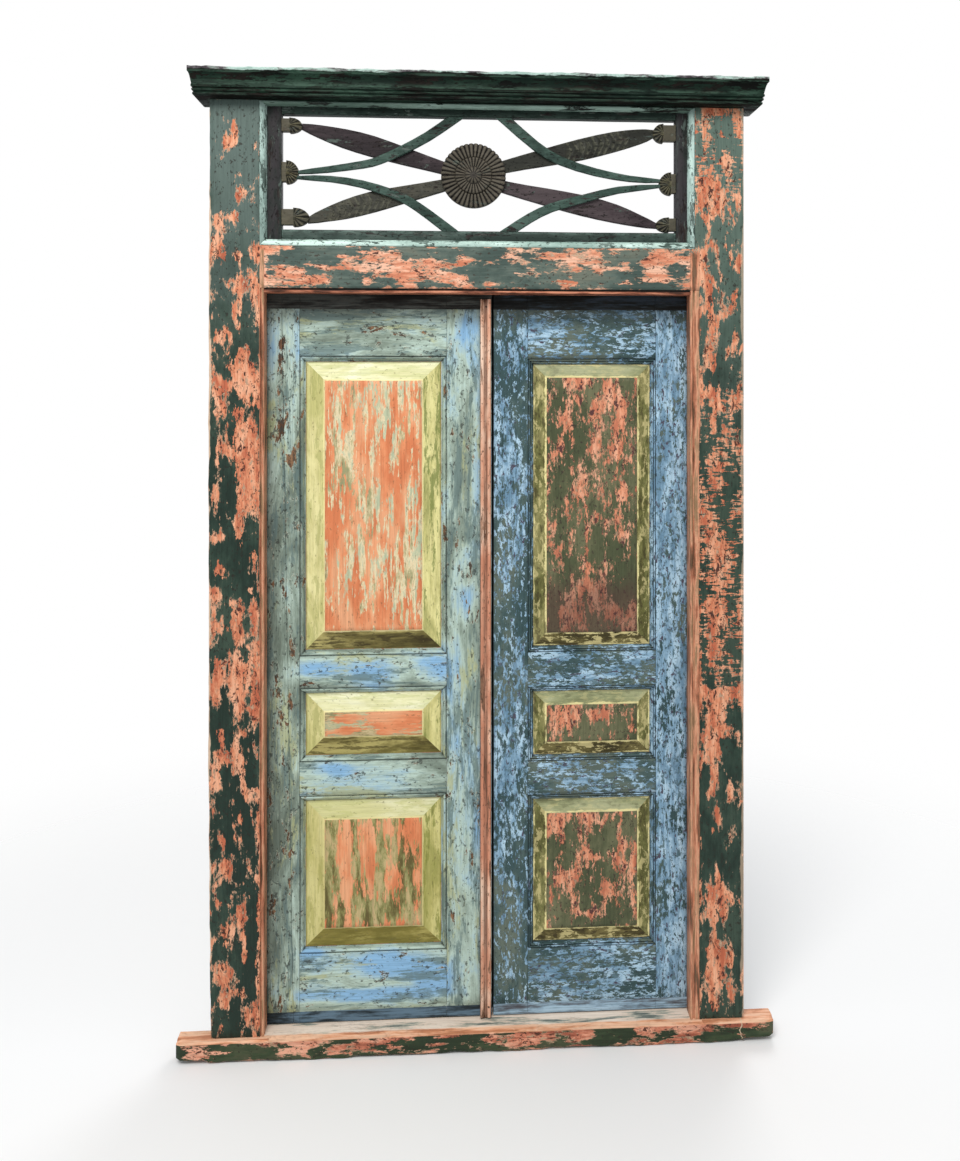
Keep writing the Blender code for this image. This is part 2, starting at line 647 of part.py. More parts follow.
def chevron_cutters(points, x_from, x_to):
    """V-shaped grooves across a blade, each leaning back from the bar's middle line."""
    cuts = []
    y = DIAG_Y0
    for k in range(FEATHER_N):
        x = x_from + (x_to - x_from) * (k + 0.5) / FEATHER_N
        z, w = at_x(points, x)
        z2, _w = at_x(points, x + 0.01)
        slope = (z2 - z) / 0.01
        for sign in (-1, 1):
            reach = w / 2 + 0.004
            x_end = x - FEATHER_SWEEP
            z_in = z + sign * 0.0011
            z_end = z + slope * (x_end - x) + sign * reach
            h = FEATHER_W / 2
            top, deep = y - 0.001, y + FEATHER_DEPTH
            grow = (FEATHER_DEPTH + 0.001) / FEATHER_DEPTH
            verts = [
                (x - h * grow, top, z_in), (x + h * grow, top, z_in), (x, deep, z_in),
                (x_end - h * grow, top, z_end), (x_end + h * grow, top, z_end), (x_end, deep, z_end),
            ]
            faces = [(0, 1, 2), (5, 4, 3), (0, 3, 4, 1), (1, 4, 5, 2), (2, 5, 3, 0)]
            cuts.append(solid("v", verts, faces, None))
    return cuts


def make_diagonals(mat_plain, mat_feather):
    plain = bar("plain_bar", PLAIN_BAR, DIAG_Y0, DIAG_Y1, DIAG_CHAMFER, 2, mat_plain)
    feather = bar("feathered_bar", FEATHER_BAR, DIAG_Y0, DIAG_Y1, DIAG_CHAMFER, 2, mat_feather)
    cope(plain, ["boss_upper_left", "boss_lower_right"])
    cope(feather, ["boss_lower_left", "boss_upper_right"])
    half = (DIAG_Y0 + DIAG_Y1) / 2
    # The halving joint: each bar keeps one half of its thickness at the crossing.
    cx, cz = in_light(ROSE_U, ROSE_V)
    r = HALVING
    notch_front = box("plain_cutter", cx - r, cx + r, DIAG_Y0 - OVER, half + HALVING_CLEAR / 2,
                      cz - r, cz + r, None)
    boolean(plain, notch_front, "DIFFERENCE")
    notch_back = box("feather_notch", cx - r, cx + r, half - HALVING_CLEAR / 2, DIAG_Y1 + OVER,
                     cz - r, cz + r, None)
    cuts = [notch_back]
    for zone in (FEATHER_LEFT, FEATHER_RIGHT):
        x_from, x_to = in_light(zone[0], 0)[0], in_light(zone[1], 0)[0]
        cuts += chevron_cutters(FEATHER_BAR, x_from, x_to)
    boolean(feather, merged("feather_cutter", cuts), "DIFFERENCE")


def make_rosette(mat):
    """A disc with petals round a fluted inner disc and a plain boss."""
    def wave(k, count):
        return 0.5 - 0.5 * math.cos(2 * math.pi * count * k / ROSE_STEPS)
    cx, cz = in_light(ROSE_U, ROSE_V)
    r_mid = (ROSE_INNER_R + ROSE_R) / 2
    rings = [
        (ROSE_R * 0.985, lambda k: ROSE_BACK),
        (ROSE_R, lambda k: ROSE_FRONT + 0.0065 + ROSE_CUT * wave(k, ROSE_PETALS)),
        (ROSE_R * 0.955, lambda k: ROSE_FRONT + 0.0012 + ROSE_CUT * wave(k, ROSE_PETALS)),
        (r_mid, lambda k: ROSE_FRONT - 0.0004 + ROSE_CUT * 0.8 * wave(k, ROSE_PETALS)),
        (ROSE_INNER_R * 1.03, lambda k: ROSE_FRONT + 0.0022 + ROSE_CUT * 0.5 * wave(k, ROSE_PETALS)),
        (ROSE_INNER_R, lambda k: ROSE_DISC_FRONT + 0.0020 + ROSE_CUT * 0.6 * wave(k, ROSE_FLUTES)),
        (ROSE_INNER_R * 0.93, lambda k: ROSE_DISC_FRONT + ROSE_CUT * 0.6 * wave(k, ROSE_FLUTES)),
        (ROSE_BOSS_R * 1.08, lambda k: ROSE_DISC_FRONT + 0.0015 + ROSE_CUT * 0.3 * wave(k, ROSE_FLUTES)),
        (ROSE_BOSS_R * 0.95, lambda k: ROSE_BOSS_FRONT + 0.0012),
        (ROSE_BOSS_R * 0.70, lambda k: ROSE_BOSS_FRONT),
    ]
    verts = []
    for r, depth in rings:
        for k in range(ROSE_STEPS):
            a = 2 * math.pi * k / ROSE_STEPS
            verts.append((cx + r * math.cos(a), depth(k), cz + r * math.sin(a)))
    n = ROSE_STEPS
    faces = [tuple(range(n)), tuple((len(rings) - 1) * n + k for k in range(n - 1, -1, -1))]
    for i in range(len(rings) - 1):
        for k in range(n):
            l = (k + 1) % n
            faces.append((i * n + k, i * n + l, (i + 1) * n + l, (i + 1) * n + k))
    solid("rosette", verts, faces, mat)


def make_boss(name, spec, mat):
    """A block on the stile with a ribbed half-round fan in front of the bar's end."""
    side, block, reach, middle, height, ribs = spec
    x_edge = GRILLE_X0 if side > 0 else GRILLE_X1
    cz = in_light(0, middle)[1]
    half = height / 2
    z0, z1 = cz - half, cz + half
    rim_y, flat_y = BOSS_Y0 + 0.0060, BOSS_Y0 + 0.0035
    start = x_edge + side * GAP
    root = x_edge + side * block
    outline = [(start, z0 + half * 0.18), (root, z0 + half * 0.18)]
    depth = [flat_y, flat_y]
    for k, point in enumerate(fan_line(spec)):
        outline.append(point)
        depth.append(rim_y + (BOSS_RIB if k % 2 else 0.0))
    outline += [(root, z1 - half * 0.18), (start, z1 - half * 0.18)]
    depth += [flat_y, flat_y]
    n = len(outline)
    verts = [(x, BOSS_Y1, z) for x, z in outline]
    verts += [(x, d, z) for (x, z), d in zip(outline, depth)]
    hub = [(root, BOSS_Y0, cz)]
    verts += hub
    c = 2 * n
    faces = [tuple(range(n - 1, -1, -1))]
    for i in range(n):
        j = (i + 1) % n
        faces.append((i, j, n + j, n + i))
        faces.append((n + i, n + j, c))
    solid(name, verts, faces, mat)


def leaf_outlines(x_out, shoulders, x_meet, openings, side):
    """Outlines of a leaf's stiles and rails, with their mitred mouldings."""
    w = STICK_W
    s0, s1 = shoulders
    g = GAP
    def stile(x_edge, shoulder, inward):
        line = [(x_edge, LEAF_Z1), (shoulder, LEAF_Z1)]
        for zt, zb in openings:
            line += [
                (shoulder, zt + w - g), (shoulder + inward * w, zt - g),
                (shoulder + inward * w, zb + g), (shoulder, zb - w + g),
            ]
        line += [(shoulder, LEAF_Z0), (x_edge, LEAF_Z0)]
        return line
    if side < 0:
        stiles = [stile(x_out, s0, 1), stile(x_meet, s1, -1)]
    else:
        stiles = [stile(x_meet, s0, 1), stile(x_out, s1, -1)]
    rails = []
    edges = [(None, openings[0][0])]
    edges += [(a[1], b[0]) for a, b in zip(openings, openings[1:])]
    edges += [(openings[-1][1], None)]
    for above, below in edges:
        line = []
        if below is None:
            line += [(s0 + g, LEAF_Z0), (s1 - g, LEAF_Z0)]
        else:
            line += [(s0 + g, below + w), (s0 + w + g, below), (s1 - w - g, below), (s1 - g, below + w)]
        if above is None:
            line += [(s1 - g, LEAF_Z1), (s0 + g, LEAF_Z1)]
        else:
            line += [(s1 - g, above - w), (s1 - w - g, above), (s0 + w + g, above), (s0 + g, above - w)]
        rails.append(line)
    return stiles, rails


def leaf_cutter(name, shoulders, openings, stick):
    """What is cut from a leaf's members: mouldings, panel grooves and the two bands."""
    f = LEAF_FRONT
    parts = []
    x0, x1 = shoulders[0] + STICK_W, shoulders[1] - STICK_W
    out = stick[0][0]
    for i, (zt, zb) in enumerate(openings):
        profile = [(-0.002, f - OVER), (out, f - OVER)]
        profile += [(o, f + d) for o, d in stick]
        profile += [(-0.002, f + LIP)]
        parts.append(ring("%s_m%d" % (name, i), x0, x1, zb, zt, profile))
        groove = [
            (-0.001, f + TONGUE_FRONT - GAP), (TONGUE_OUT + 0.001, f + TONGUE_FRONT - GAP),
            (TONGUE_OUT + 0.001, f + TONGUE_BACK + GAP), (-0.001, f + TONGUE_BACK + GAP),
        ]
        parts.append(ring("%s_g%d" % (name, i), x0, x1, zb, zt, groove))
    b = BAND_DEPTH
    foot = [
        (f - OVER, LEAF_Z0 - OVER), (f + b, LEAF_Z0 - OVER), (f + b, FOOT_BAND - BAND_SLOPE),
        (f, FOOT_BAND), (f - OVER, FOOT_BAND),
    ]
    head = [
        (f - OVER, LEAF_Z1 + OVER), (f + b, LEAF_Z1 + OVER), (f + b, HEAD_BAND + BAND_SLOPE),
        (f, HEAD_BAND), (f - OVER, HEAD_BAND),
    ]
    parts.append(prism(name + "_foot", foot, -JAMB_OUT, JAMB_OUT, "X", None))
    parts.append(prism(name + "_head", head, -JAMB_OUT, JAMB_OUT, "X", None))
    return merged(name, parts)


def make_panel(name, x0, x1, zt, zb, bevel, mat):
    """A raised-and-fielded panel. Its tongue lies in the groove of the members."""
    f = LEAF_FRONT
    levels = [
        (-TONGUE_OUT, f + TONGUE_BACK), (-TONGUE_OUT, f + TONGUE_FRONT),
        (0.0006, f + TONGUE_FRONT), (bevel - 0.0012, f + BEVEL_TOP), (bevel, f + FIELD),
    ]
    verts = []
    for inset, y in levels:
        verts += [
            (x0 + inset, y, zb + inset), (x1 - inset, y, zb + inset),
            (x1 - inset, y, zt - inset), (x0 + inset, y, zt - inset),
        ]
    faces = [(0, 1, 2, 3)]
    for i in range(len(levels) - 1):
        for k in range(4):
            l = (k + 1) % 4
            faces.append((i * 4 + k, i * 4 + l, (i + 1) * 4 + l, (i + 1) * 4 + k))
    last = (len(levels) - 1) * 4
    faces.append((last, last + 1, last + 2, last + 3))
    solid(name, verts, faces, mat)


def meeting_wedge(name, side, x_back):
    """What a cutter takes off a meeting edge, which is x_back at the back and leans away in front."""
    slope = MEET_LEAN / LEAF_T
    back, front = LEAF_FRONT + LEAF_T + OVER, LEAF_FRONT - OVER
    outline = [
        (x_back - side * slope * OVER, back), (x_back + side * (MEET_LEAN + slope * OVER), front),
        (x_back - side * MEET_GAP * 2, front), (x_back - side * MEET_GAP * 2, back),
    ]
    return prism(name, outline, LEAF_Z0 - OVER, LEAF_Z1 + OVER, "Z", None)


def stacked(heights, top_rail):
    """The three openings of a leaf, upper one first, as (top, bottom)."""
    bottom, lower, low, middle, lock = heights
    z1 = LEAF_Z0 + bottom
    z2 = z1 + lower
    z3 = z2 + low
    z4 = z3 + middle
    return [(LEAF_Z1 - top_rail, z4 + lock), (z4, z3), (z2, z1)]


def make_leaf(prefix, side, x_out, x_meet, shoulders, openings, stick, bevel, mats):
    wood, panel_mat = mats
    cutter = leaf_cutter(prefix + "_cutter", shoulders, openings, stick)
    stiles, rails = leaf_outlines(x_out, shoulders, x_meet, openings, side)
    y0, y1 = LEAF_FRONT, LEAF_FRONT + LEAF_T
    if side < 0:
        names = [prefix + "_hinge_stile", prefix + "_meeting_stile"]
        # The left hinge stile is made of two boards with a slanting joint between them.
        top, foot = STRIP_TOP_X, STRIP_FOOT_X
        line = stiles[0]
        line = [(top + GAP, LEAF_Z1)] + line[1:-1] + [(foot + GAP, LEAF_Z0)]
        stiles[0] = line
        strip = [(x_out, LEAF_Z1), (top, LEAF_Z1), (foot, LEAF_Z0), (x_out, LEAF_Z0)]
        obj = prism(prefix + "_edge_board", strip, y0, y1, "Y", wood)
        boolean(obj, cutter, "DIFFERENCE")
    else:
        names = [prefix + "_meeting_stile", prefix + "_hinge_stile"]
    for name, line in zip(names, stiles):
        obj = prism(name, line, y0, y1, "Y", wood)
        boolean(obj, cutter, "DIFFERENCE")
        if name.endswith("meeting_stile"):
            boolean(obj, meeting_wedge(name + "_wedge", side, x_meet), "DIFFERENCE")
    rail_names = ["_top_rail", "_lock_rail", "_low_rail", "_bottom_rail"]
    for tail, line in zip(rail_names, rails):
        boolean(prism(prefix + tail, line, y0, y1, "Y", wood), cutter, "DIFFERENCE")
    x0, x1 = shoulders[0] + STICK_W, shoulders[1] - STICK_W
    for tail, (zt, zb) in zip(["_upper_panel", "_middle_panel", "_lower_panel"], openings):
        make_panel(prefix + tail, x0, x1, zt, zb, bevel, panel_mat)


def make_astragal(mat):
    base = LEAF_FRONT - GAP
    outline = [(ASTRAGAL_X0, base)]
    outline += [(ASTRAGAL_X0 + x, base - h) for x, h in ASTRAGAL]
    outline += [(ASTRAGAL_X0 + ASTRAGAL[-1][0], base)]
    prism("left_leaf_astragal", outline, ASTRAGAL_Z0, ASTRAGAL_Z1, "Z", mat)


def circle(cx, cy, r):
    turns = [2 * math.pi * (k + 0.5) / ROUND for k in range(ROUND)]
    return [(cx + r * math.cos(a), cy + r * math.sin(a)) for a in turns]


def hull(points):
    """The convex outline round a set of points."""
    pts = sorted(set(points))
    def half(seq):
        out = []
        for p in seq:
            while len(out) > 1:
                a, b = out[-2], out[-1]
                if (b[0] - a[0]) * (p[1] - a[1]) - (b[1] - a[1]) * (p[0] - a[0]) > 1e-12:
                    break
                out.pop()
            out.append(p)
        return out
    low, high = half(pts), half(pts[::-1])
    return low[:-1] + high[:-1]


def make_hinge(tag, side, z_mid, mat):
    """One butt hinge on the back: a half on the jamb, and a half with the pin on the leaf."""
    px = side * PIN_X
    face = FRAME_DEPTH + GAP
    step = KNUCKLE_H + GAP
    z0 = z_mid - 1.5 * KNUCKLE_H - GAP
    z1 = z_mid + 1.5 * KNUCKLE_H + GAP
    for half, out in (("jamb", side), ("leaf", -side)):
        root = px + out * PLATE_ROOT
        tip = px + out * PLATE_REACH
        xs = sorted([root, tip])
        name = "hinge_%s_%s" % (tag, half)
        plate = box(name, xs[0], xs[1], face, face + PLATE_T, z0, z1, mat)
        web = [
            (root + out * 0.001, face + 0.0003), (root + out * 0.001, face + PLATE_T - 0.0003),
            (px, face + 0.0016),
        ]
        eye = hull(circle(px, PIN_Y, KNUCKLE_R) + web)
        if half == "jamb":
            for n, low in enumerate((z0, z0 + 2 * step)):
                knuckle = prism("%s_eye%d" % (name, n), eye, low, low + KNUCKLE_H, "Z", None)
                boolean(plate, knuckle, "UNION")
            bore = prism(name + "_bore", circle(px, PIN_Y, PIN_R + PIN_FIT), z0 - OVER, z1 + OVER, "Z", None)
            boolean(plate, bore, "DIFFERENCE")
        else:
            knuckle = prism(name + "_eye", eye, z0 + step, z0 + step + KNUCKLE_H, "Z", None)
            boolean(plate, knuckle, "UNION")
            pin = prism(name + "_pin", circle(px, PIN_Y, PIN_R), z0 - PIN_HEAD, z1 + PIN_HEAD, "Z", None)
            boolean(plate, pin, "UNION")


def main():
    clear_scene()
    green = material("frame_paint", (0.055, 0.085, 0.065), 0.62)
    coral = material("bare_sill", (0.45, 0.20, 0.11), 0.70)
    mint = material("mint_bead", (0.30, 0.55, 0.44), 0.55)
    grille = material("grille_paint", (0.060, 0.075, 0.065), 0.65)
    carved = material("carved_wood", (0.15, 0.13, 0.10), 0.70)
    left_paint = material("left_leaf_paint", (0.24, 0.37, 0.36), 0.60)
    left_field = material("left_panel_paint", (0.60, 0.26, 0.13), 0.62)
    right_paint = material("right_leaf_paint", (0.16, 0.34, 0.52), 0.60)
    right_field = material("right_panel_paint", (0.11, 0.13, 0.06), 0.62)
    salmon = material("astragal_paint", (0.62, 0.28, 0.17), 0.60)
    iron = material("hinge_iron", (0.05, 0.045, 0.04), 0.60, 0.8)

    make_sill(coral)
    make_jamb("left_jamb", -1, 0.0, 0.0, ARRIS_LEFT, green)
    make_jamb("right_jamb", 1, FLAT_W, FLAT_D, ARRIS_RIGHT, green)
    make_head(green)
    make_cornice(green)
    make_transom(green)
    make_ring_beads(mint)
    make_grille_frame(grille)
    make_curved_bars(grille)
    make_diagonals(carved, carved)
    make_rosette(carved)
    for name, spec in BOSSES.items():
        make_boss(name, spec, carved)
    left_openings = stacked(LEFT_HEIGHTS, LEFT_TOP_RAIL)
    right_openings = stacked(RIGHT_HEIGHTS, RIGHT_TOP_RAIL)
    make_leaf("left_leaf", -1, -LEAF_OUT, MEET_LEFT + MEET_LEAN, LEFT_SHOULDERS, left_openings,
              LEFT_STICK, LEFT_BEVEL, (left_paint, left_field))
    make_leaf("right_leaf", 1, LEAF_OUT, MEET_RIGHT - MEET_LEAN, RIGHT_SHOULDERS, right_openings,
              RIGHT_STICK, RIGHT_BEVEL, (right_paint, right_field))
    make_astragal(salmon)
    for n, z in enumerate(HINGE_Z):
        make_hinge("left_%d" % (n + 1), -1, z, iron)
        make_hinge("right_%d" % (n + 1), 1, z, iron)


main()
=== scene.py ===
"""A weathered double-leaf panelled door: layered flaking paint, carved grille, worn wood.
Metres, +Z up, the door's front faces -Y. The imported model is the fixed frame."""

import json
import math
from functools import reduce

import bmesh
import bpy
import numpy as np
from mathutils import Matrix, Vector, noise


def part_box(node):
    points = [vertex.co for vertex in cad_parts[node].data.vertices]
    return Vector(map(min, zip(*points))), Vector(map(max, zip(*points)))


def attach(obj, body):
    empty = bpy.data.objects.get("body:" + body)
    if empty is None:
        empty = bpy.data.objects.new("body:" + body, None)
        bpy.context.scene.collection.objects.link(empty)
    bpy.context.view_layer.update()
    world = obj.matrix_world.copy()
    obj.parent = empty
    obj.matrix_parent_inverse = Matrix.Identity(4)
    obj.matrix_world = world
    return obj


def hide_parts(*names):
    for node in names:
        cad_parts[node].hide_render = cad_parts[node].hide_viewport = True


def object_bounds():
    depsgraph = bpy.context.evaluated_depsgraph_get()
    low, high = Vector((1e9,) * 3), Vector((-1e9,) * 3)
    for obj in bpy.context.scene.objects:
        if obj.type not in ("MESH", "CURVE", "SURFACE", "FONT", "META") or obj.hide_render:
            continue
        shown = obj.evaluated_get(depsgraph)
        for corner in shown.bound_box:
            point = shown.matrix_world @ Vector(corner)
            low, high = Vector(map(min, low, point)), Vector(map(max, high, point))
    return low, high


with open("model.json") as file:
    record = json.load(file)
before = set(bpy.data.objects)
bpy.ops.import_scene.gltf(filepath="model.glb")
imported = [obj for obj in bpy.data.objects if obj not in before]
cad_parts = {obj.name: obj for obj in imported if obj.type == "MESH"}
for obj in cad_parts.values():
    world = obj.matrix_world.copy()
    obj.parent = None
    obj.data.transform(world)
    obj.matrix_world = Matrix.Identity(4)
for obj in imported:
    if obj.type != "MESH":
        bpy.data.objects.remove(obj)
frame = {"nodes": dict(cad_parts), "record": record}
CAD_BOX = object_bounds()
NODES = frame["nodes"]

# Camera, at the photograph's viewing angle.
cam_data = bpy.data.cameras.new("camera")
cam_data.lens = 35.35
cam_data.sensor_width = 36
cam_data.shift_x = -0.0517
cam_data.shift_y = -0.169
camera = bpy.data.objects.new("camera", cam_data)
camera.location = (-0.0585, -3, 1.7493)
camera.rotation_euler = (math.radians(90), 0, math.radians(-4.13))
bpy.context.scene.collection.objects.link(camera)
bpy.context.scene.camera = camera

# Worn places on the door's front: x, z, half width and half height in
# centimetres, and a strength where it isn't 1.
LEFT_JAMB_WEAR = [
    (-66, 238, 1.8, 2), (-63, 241, 1, 3.5), (-58.8, 240, 0.6, 6), (-62.5, 229, 1, 1.2), (-62, 225, 2, 2),
    (-58.5, 223, 0.6, 1.5), (-67.5, 217.5, 1.5, 2.5), (-64.5, 218.5, 1.5, 1.2), (-67.5, 210, 2, 3.5),
    (-62.5, 208, 1.8, 1.8), (-57.5, 209, 3, 2.2), (-62.2, 201, 1.2, 4), (-58, 200, 1.4, 3.5),
    (-62.5, 193, 1.2, 3.5), (-57, 193.5, 1, 4), (-67, 187.5, 1.6, 2), (-64, 187, 0.8, 2),
    (-62, 178, 3, 7, 1.4), (-67.5, 175.5, 1, 2.5), (-58, 173, 1.6, 5), (-67.5, 169, 1.6, 3.5),
    (-63, 168, 1.2, 2), (-61, 160, 4, 6, 1.4), (-68, 156, 1, 3.5), (-62, 148, 1.8, 7), (-58, 148, 1.3, 7),
    (-68, 146.5, 1, 2), (-68, 135, 1.6, 2), (-62.5, 135, 1.2, 5), (-59, 131, 1, 4), (-67, 127, 1.6, 3),
    (-59.5, 121.5, 0.6, 1.2), (-68.2, 119, 0.8, 3), (-62.8, 116, 1.8, 3.5), (-66.5, 111.5, 2.4, 1.8),
    (-58.5, 116, 1.3, 4), (-62.5, 109, 1.4, 3), (-67.5, 102, 1.2, 3.5), (-62.5, 101, 2, 5),
    (-59, 101, 2, 5.5), (-68.2, 94.5, 1, 3), (-62.5, 91.5, 1.6, 4), (-58, 92, 1.3, 6), (-67, 84.5, 2, 2.5),
    (-61, 84.5, 2, 0.8), (-66.5, 78.5, 2.2, 3), (-62.5, 78, 1.4, 5), (-60.8, 71, 1, 4.5),
    (-68.2, 72.5, 1.2, 3), (-69.3, 64, 0.5, 3), (-62, 63, 1.1, 2.5), (-57.3, 62, 0.8, 10),
    (-66.5, 57.3, 1.1, 2), (-62.8, 57, 1.2, 1.5), (-65.3, 50, 1.5, 3.2), (-57.3, 40, 0.9, 9),
    (-67.3, 41, 1, 2), (-61.4, 38.5, 1.1, 4), (-65.8, 33, 2, 4.5), (-61.2, 30, 1.1, 4), (-57.5, 22, 0.9, 9),
    (-66.3, 22, 1.9, 3.2), (-60.6, 26, 0.7, 2), (-66.5, 15, 1.6, 2), (-62.5, 17.5, 1.6, 1.5),
    (-59.5, 11.5, 1.7, 3), (-67, 8, 0.9, 2),
]
RIGHT_JAMB_WEAR = [
    (64, 248, 5, 2.2), (60.2, 240, 1.1, 6), (64, 243, 0.8, 4), (68.7, 243.5, 0.7, 2.5), (66, 235, 2.3, 1.5),
    (66.7, 232.3, 1.2, 1.5), (61.5, 225, 2.4, 5.5), (64.8, 224, 0.7, 2), (69, 223, 0.7, 4),
    (66.5, 221, 0.6, 1.5), (60.6, 218, 1.3, 2.8), (62.8, 211, 0.7, 2.4), (64, 204, 0.7, 3),
    (66.2, 209, 0.8, 7), (68.8, 206, 0.8, 6), (61.5, 196, 1.6, 8), (57.5, 206, 2.5, 4),
    (68, 197.5, 1.2, 3.3), (61.8, 180, 2.3, 4.3), (68.3, 187, 1, 4.5), (61.8, 171.5, 2.7, 4),
    (68, 171, 1.6, 1.3), (69.5, 172, 0.5, 4), (62, 164, 0.8, 2.8), (66.2, 163.5, 0.6, 1.8),
    (63.2, 154.5, 3, 3.7), (62, 147, 2, 3, 0.5), (69.6, 158, 0.4, 8), (64.4, 144, 0.5, 3),
    (63.2, 131, 3.8, 6.5, 1.7), (61, 122.5, 1.5, 1.5), (63, 112.5, 3.2, 7, 1.7), (69.3, 113, 0.8, 3.2),
    (61.2, 103, 1.4, 2), (67.2, 100.5, 0.6, 2), (58.2, 96, 0.7, 4.5), (64, 92, 4.5, 1.8, 1.6),
    (63, 83.5, 2.7, 6.5, 1.5), (69.8, 90, 0.8, 4), (62.3, 70.5, 1.2, 4.5), (60.5, 65, 0.6, 3),
    (62.8, 60.5, 0.9, 2.2), (66.8, 66.5, 0.6, 2.4), (62.3, 54.5, 1.2, 3.7), (63.5, 43.5, 0.9, 3.5),
    (63, 36.5, 2.6, 5, 1.3), (67.2, 38, 0.6, 1.5), (62, 19, 2, 8, 1.4), (64.7, 22, 0.7, 3),
    (66.8, 22, 0.6, 3.5), (70.2, 17, 0.6, 7), (67.3, 12, 0.9, 2.5), (62.5, 9, 1.3, 2),
]
TRANSOM_WEAR = [
    (-55, 210, 3, 1.2), (-49.5, 210.5, 1.5, 0.8), (-57, 204, 1.5, 4), (-48, 204, 5, 1.6),
    (-42, 202, 4.5, 1), (-35.5, 208.5, 4, 0.6), (-39, 205.5, 4, 0.7), (-25, 208, 6, 1.4),
    (-24, 205.5, 8, 1.6), (-20, 203.5, 3, 1.2), (-29, 201.8, 1.5, 1), (-20, 201.5, 1.2, 1),
    (-13.5, 207, 2, 0.9), (-5, 208.5, 2, 1.5), (-6, 202, 3, 1.2), (2.5, 201.3, 1.5, 0.5),
    (8, 208.5, 2.5, 1.5), (13, 210, 3, 0.5), (11, 204, 6, 0.5), (22, 208.5, 5.5, 1.4),
    (23, 201.5, 5.5, 0.6), (31.5, 205, 1.8, 3), (39, 202, 5, 0.6), (47, 204.5, 4, 2.5), (36, 211, 2, 0.6),
    (50, 209, 4.5, 1.2), (57, 206, 2, 4),
]
SILL_WEAR = [
    (-73, 3.5, 4.5, 1.8), (-64, 5.2, 4, 0.8), (-65, 2.5, 3, 0.7), (-55, 5.3, 4, 0.6), (-46, 3.5, 3, 1.8),
    (-50, 5, 3, 0.7), (-37, 2.5, 1.8, 0.8), (-30, 3.5, 2.5, 1.5), (-20, 5, 5, 0.8), (-24, 3.5, 3, 1),
    (-8, 5, 4, 0.7), (-12, 3, 2, 0.8), (3, 3.7, 2.5, 2), (12, 5, 4, 0.8), (14, 2.8, 2, 1), (28, 4, 2.5, 1),
    (43, 4, 3, 1.2), (46, 5.2, 5, 0.8), (57, 4.3, 5, 1.6), (67, 5, 3.5, 0.8), (73, 4, 3.5, 1.6),
]
LEFT_LEAF_BARE = [
    (-52, 165, 2, 7), (-52, 181, 1.2, 4), (-49, 181, 0.8, 2.5), (-50.5, 156, 1.2, 4), (-49, 141.5, 0.6, 3),
    (-51, 134.5, 1, 2.2), (-51, 122, 2, 6, 0.5), (-30, 189.3, 2.5, 1, 3), (-21.5, 189.5, 1.2, 0.7, 2.5),
    (-34.5, 189.3, 0.5, 1, 2), (-15, 188.5, 0.8, 0.8, 2), (-3, 162, 1, 3, 0.6), (-5, 118, 1.5, 4, 0.8),
    (-6, 133, 0.6, 3, 0.6), (-9.5, 114, 0.4, 3), (-51, 90, 2.5, 10, 0.4), (-51, 55, 2.5, 14, 0.2),
    (-3, 55, 1.2, 5, 0.5),
]
LEFT_LEAF_BLUE = [
    (-4, 189, 2.5, 5), (-4, 117, 2.5, 5), (-43, 99, 7, 3, 1.4), (-11, 99, 4, 4), (-28, 99, 8, 3),
    (-37, 183.5, 12, 1, 0.5), (-38, 73, 4.5, 1.5, 1.3), (-6, 77, 3, 10, 0.4), (-25, 21, 14, 3.5, 1.4),
    (-44.5, 24.5, 2.5, 1), (-12, 16.5, 5, 3.5, 1.4), (-30, 13, 20, 1.5, 1.5),
]
RIGHT_LEAF_BLUE = [
    (15, 187.5, 3, 4), (22.5, 188, 4, 1.5), (38.5, 187, 3, 3), (49, 185.5, 3.5, 3.5), (55.5, 188, 1.5, 2.5),
    (9, 182, 1.5, 3), (4, 165, 1.5, 7, 0.6), (8.5, 148, 2.5, 9), (10.5, 130, 1.2, 6), (5, 149, 1.8, 5, 0.6),
    (50, 172, 2.5, 6), (52.5, 158, 3, 6), (50.5, 138, 1.5, 4.5), (47, 150, 0.7, 8), (51, 126, 1.2, 1.3),
    (54.5, 118, 1.2, 4), (51, 112, 2.2, 3, 0.6), (20, 102, 4, 1.3), (31, 97, 5, 2), (43.5, 101.5, 2.8, 1.2),
    (31, 103, 2, 1), (17, 97, 3, 1.8), (10.5, 102, 1.8, 6), (52, 100, 2.8, 5), (54, 86, 1.8, 4.5),
    (51, 75, 1, 7, 0.7), (52, 45, 2.5, 6), (52, 28, 2.5, 6.5), (49, 57, 0.6, 7), (8, 72, 2.5, 4),
    (11.5, 53, 1, 4.5), (7, 22, 0.5, 6, 0.6), (19, 72, 4.5, 2), (40, 72, 3.5, 1.7, 0.7), (32, 23.5, 4.5, 1),
    (21, 14.5, 6, 3), (38, 16.5, 7, 2.5), (30, 8, 18, 1.2, 0.6),
]
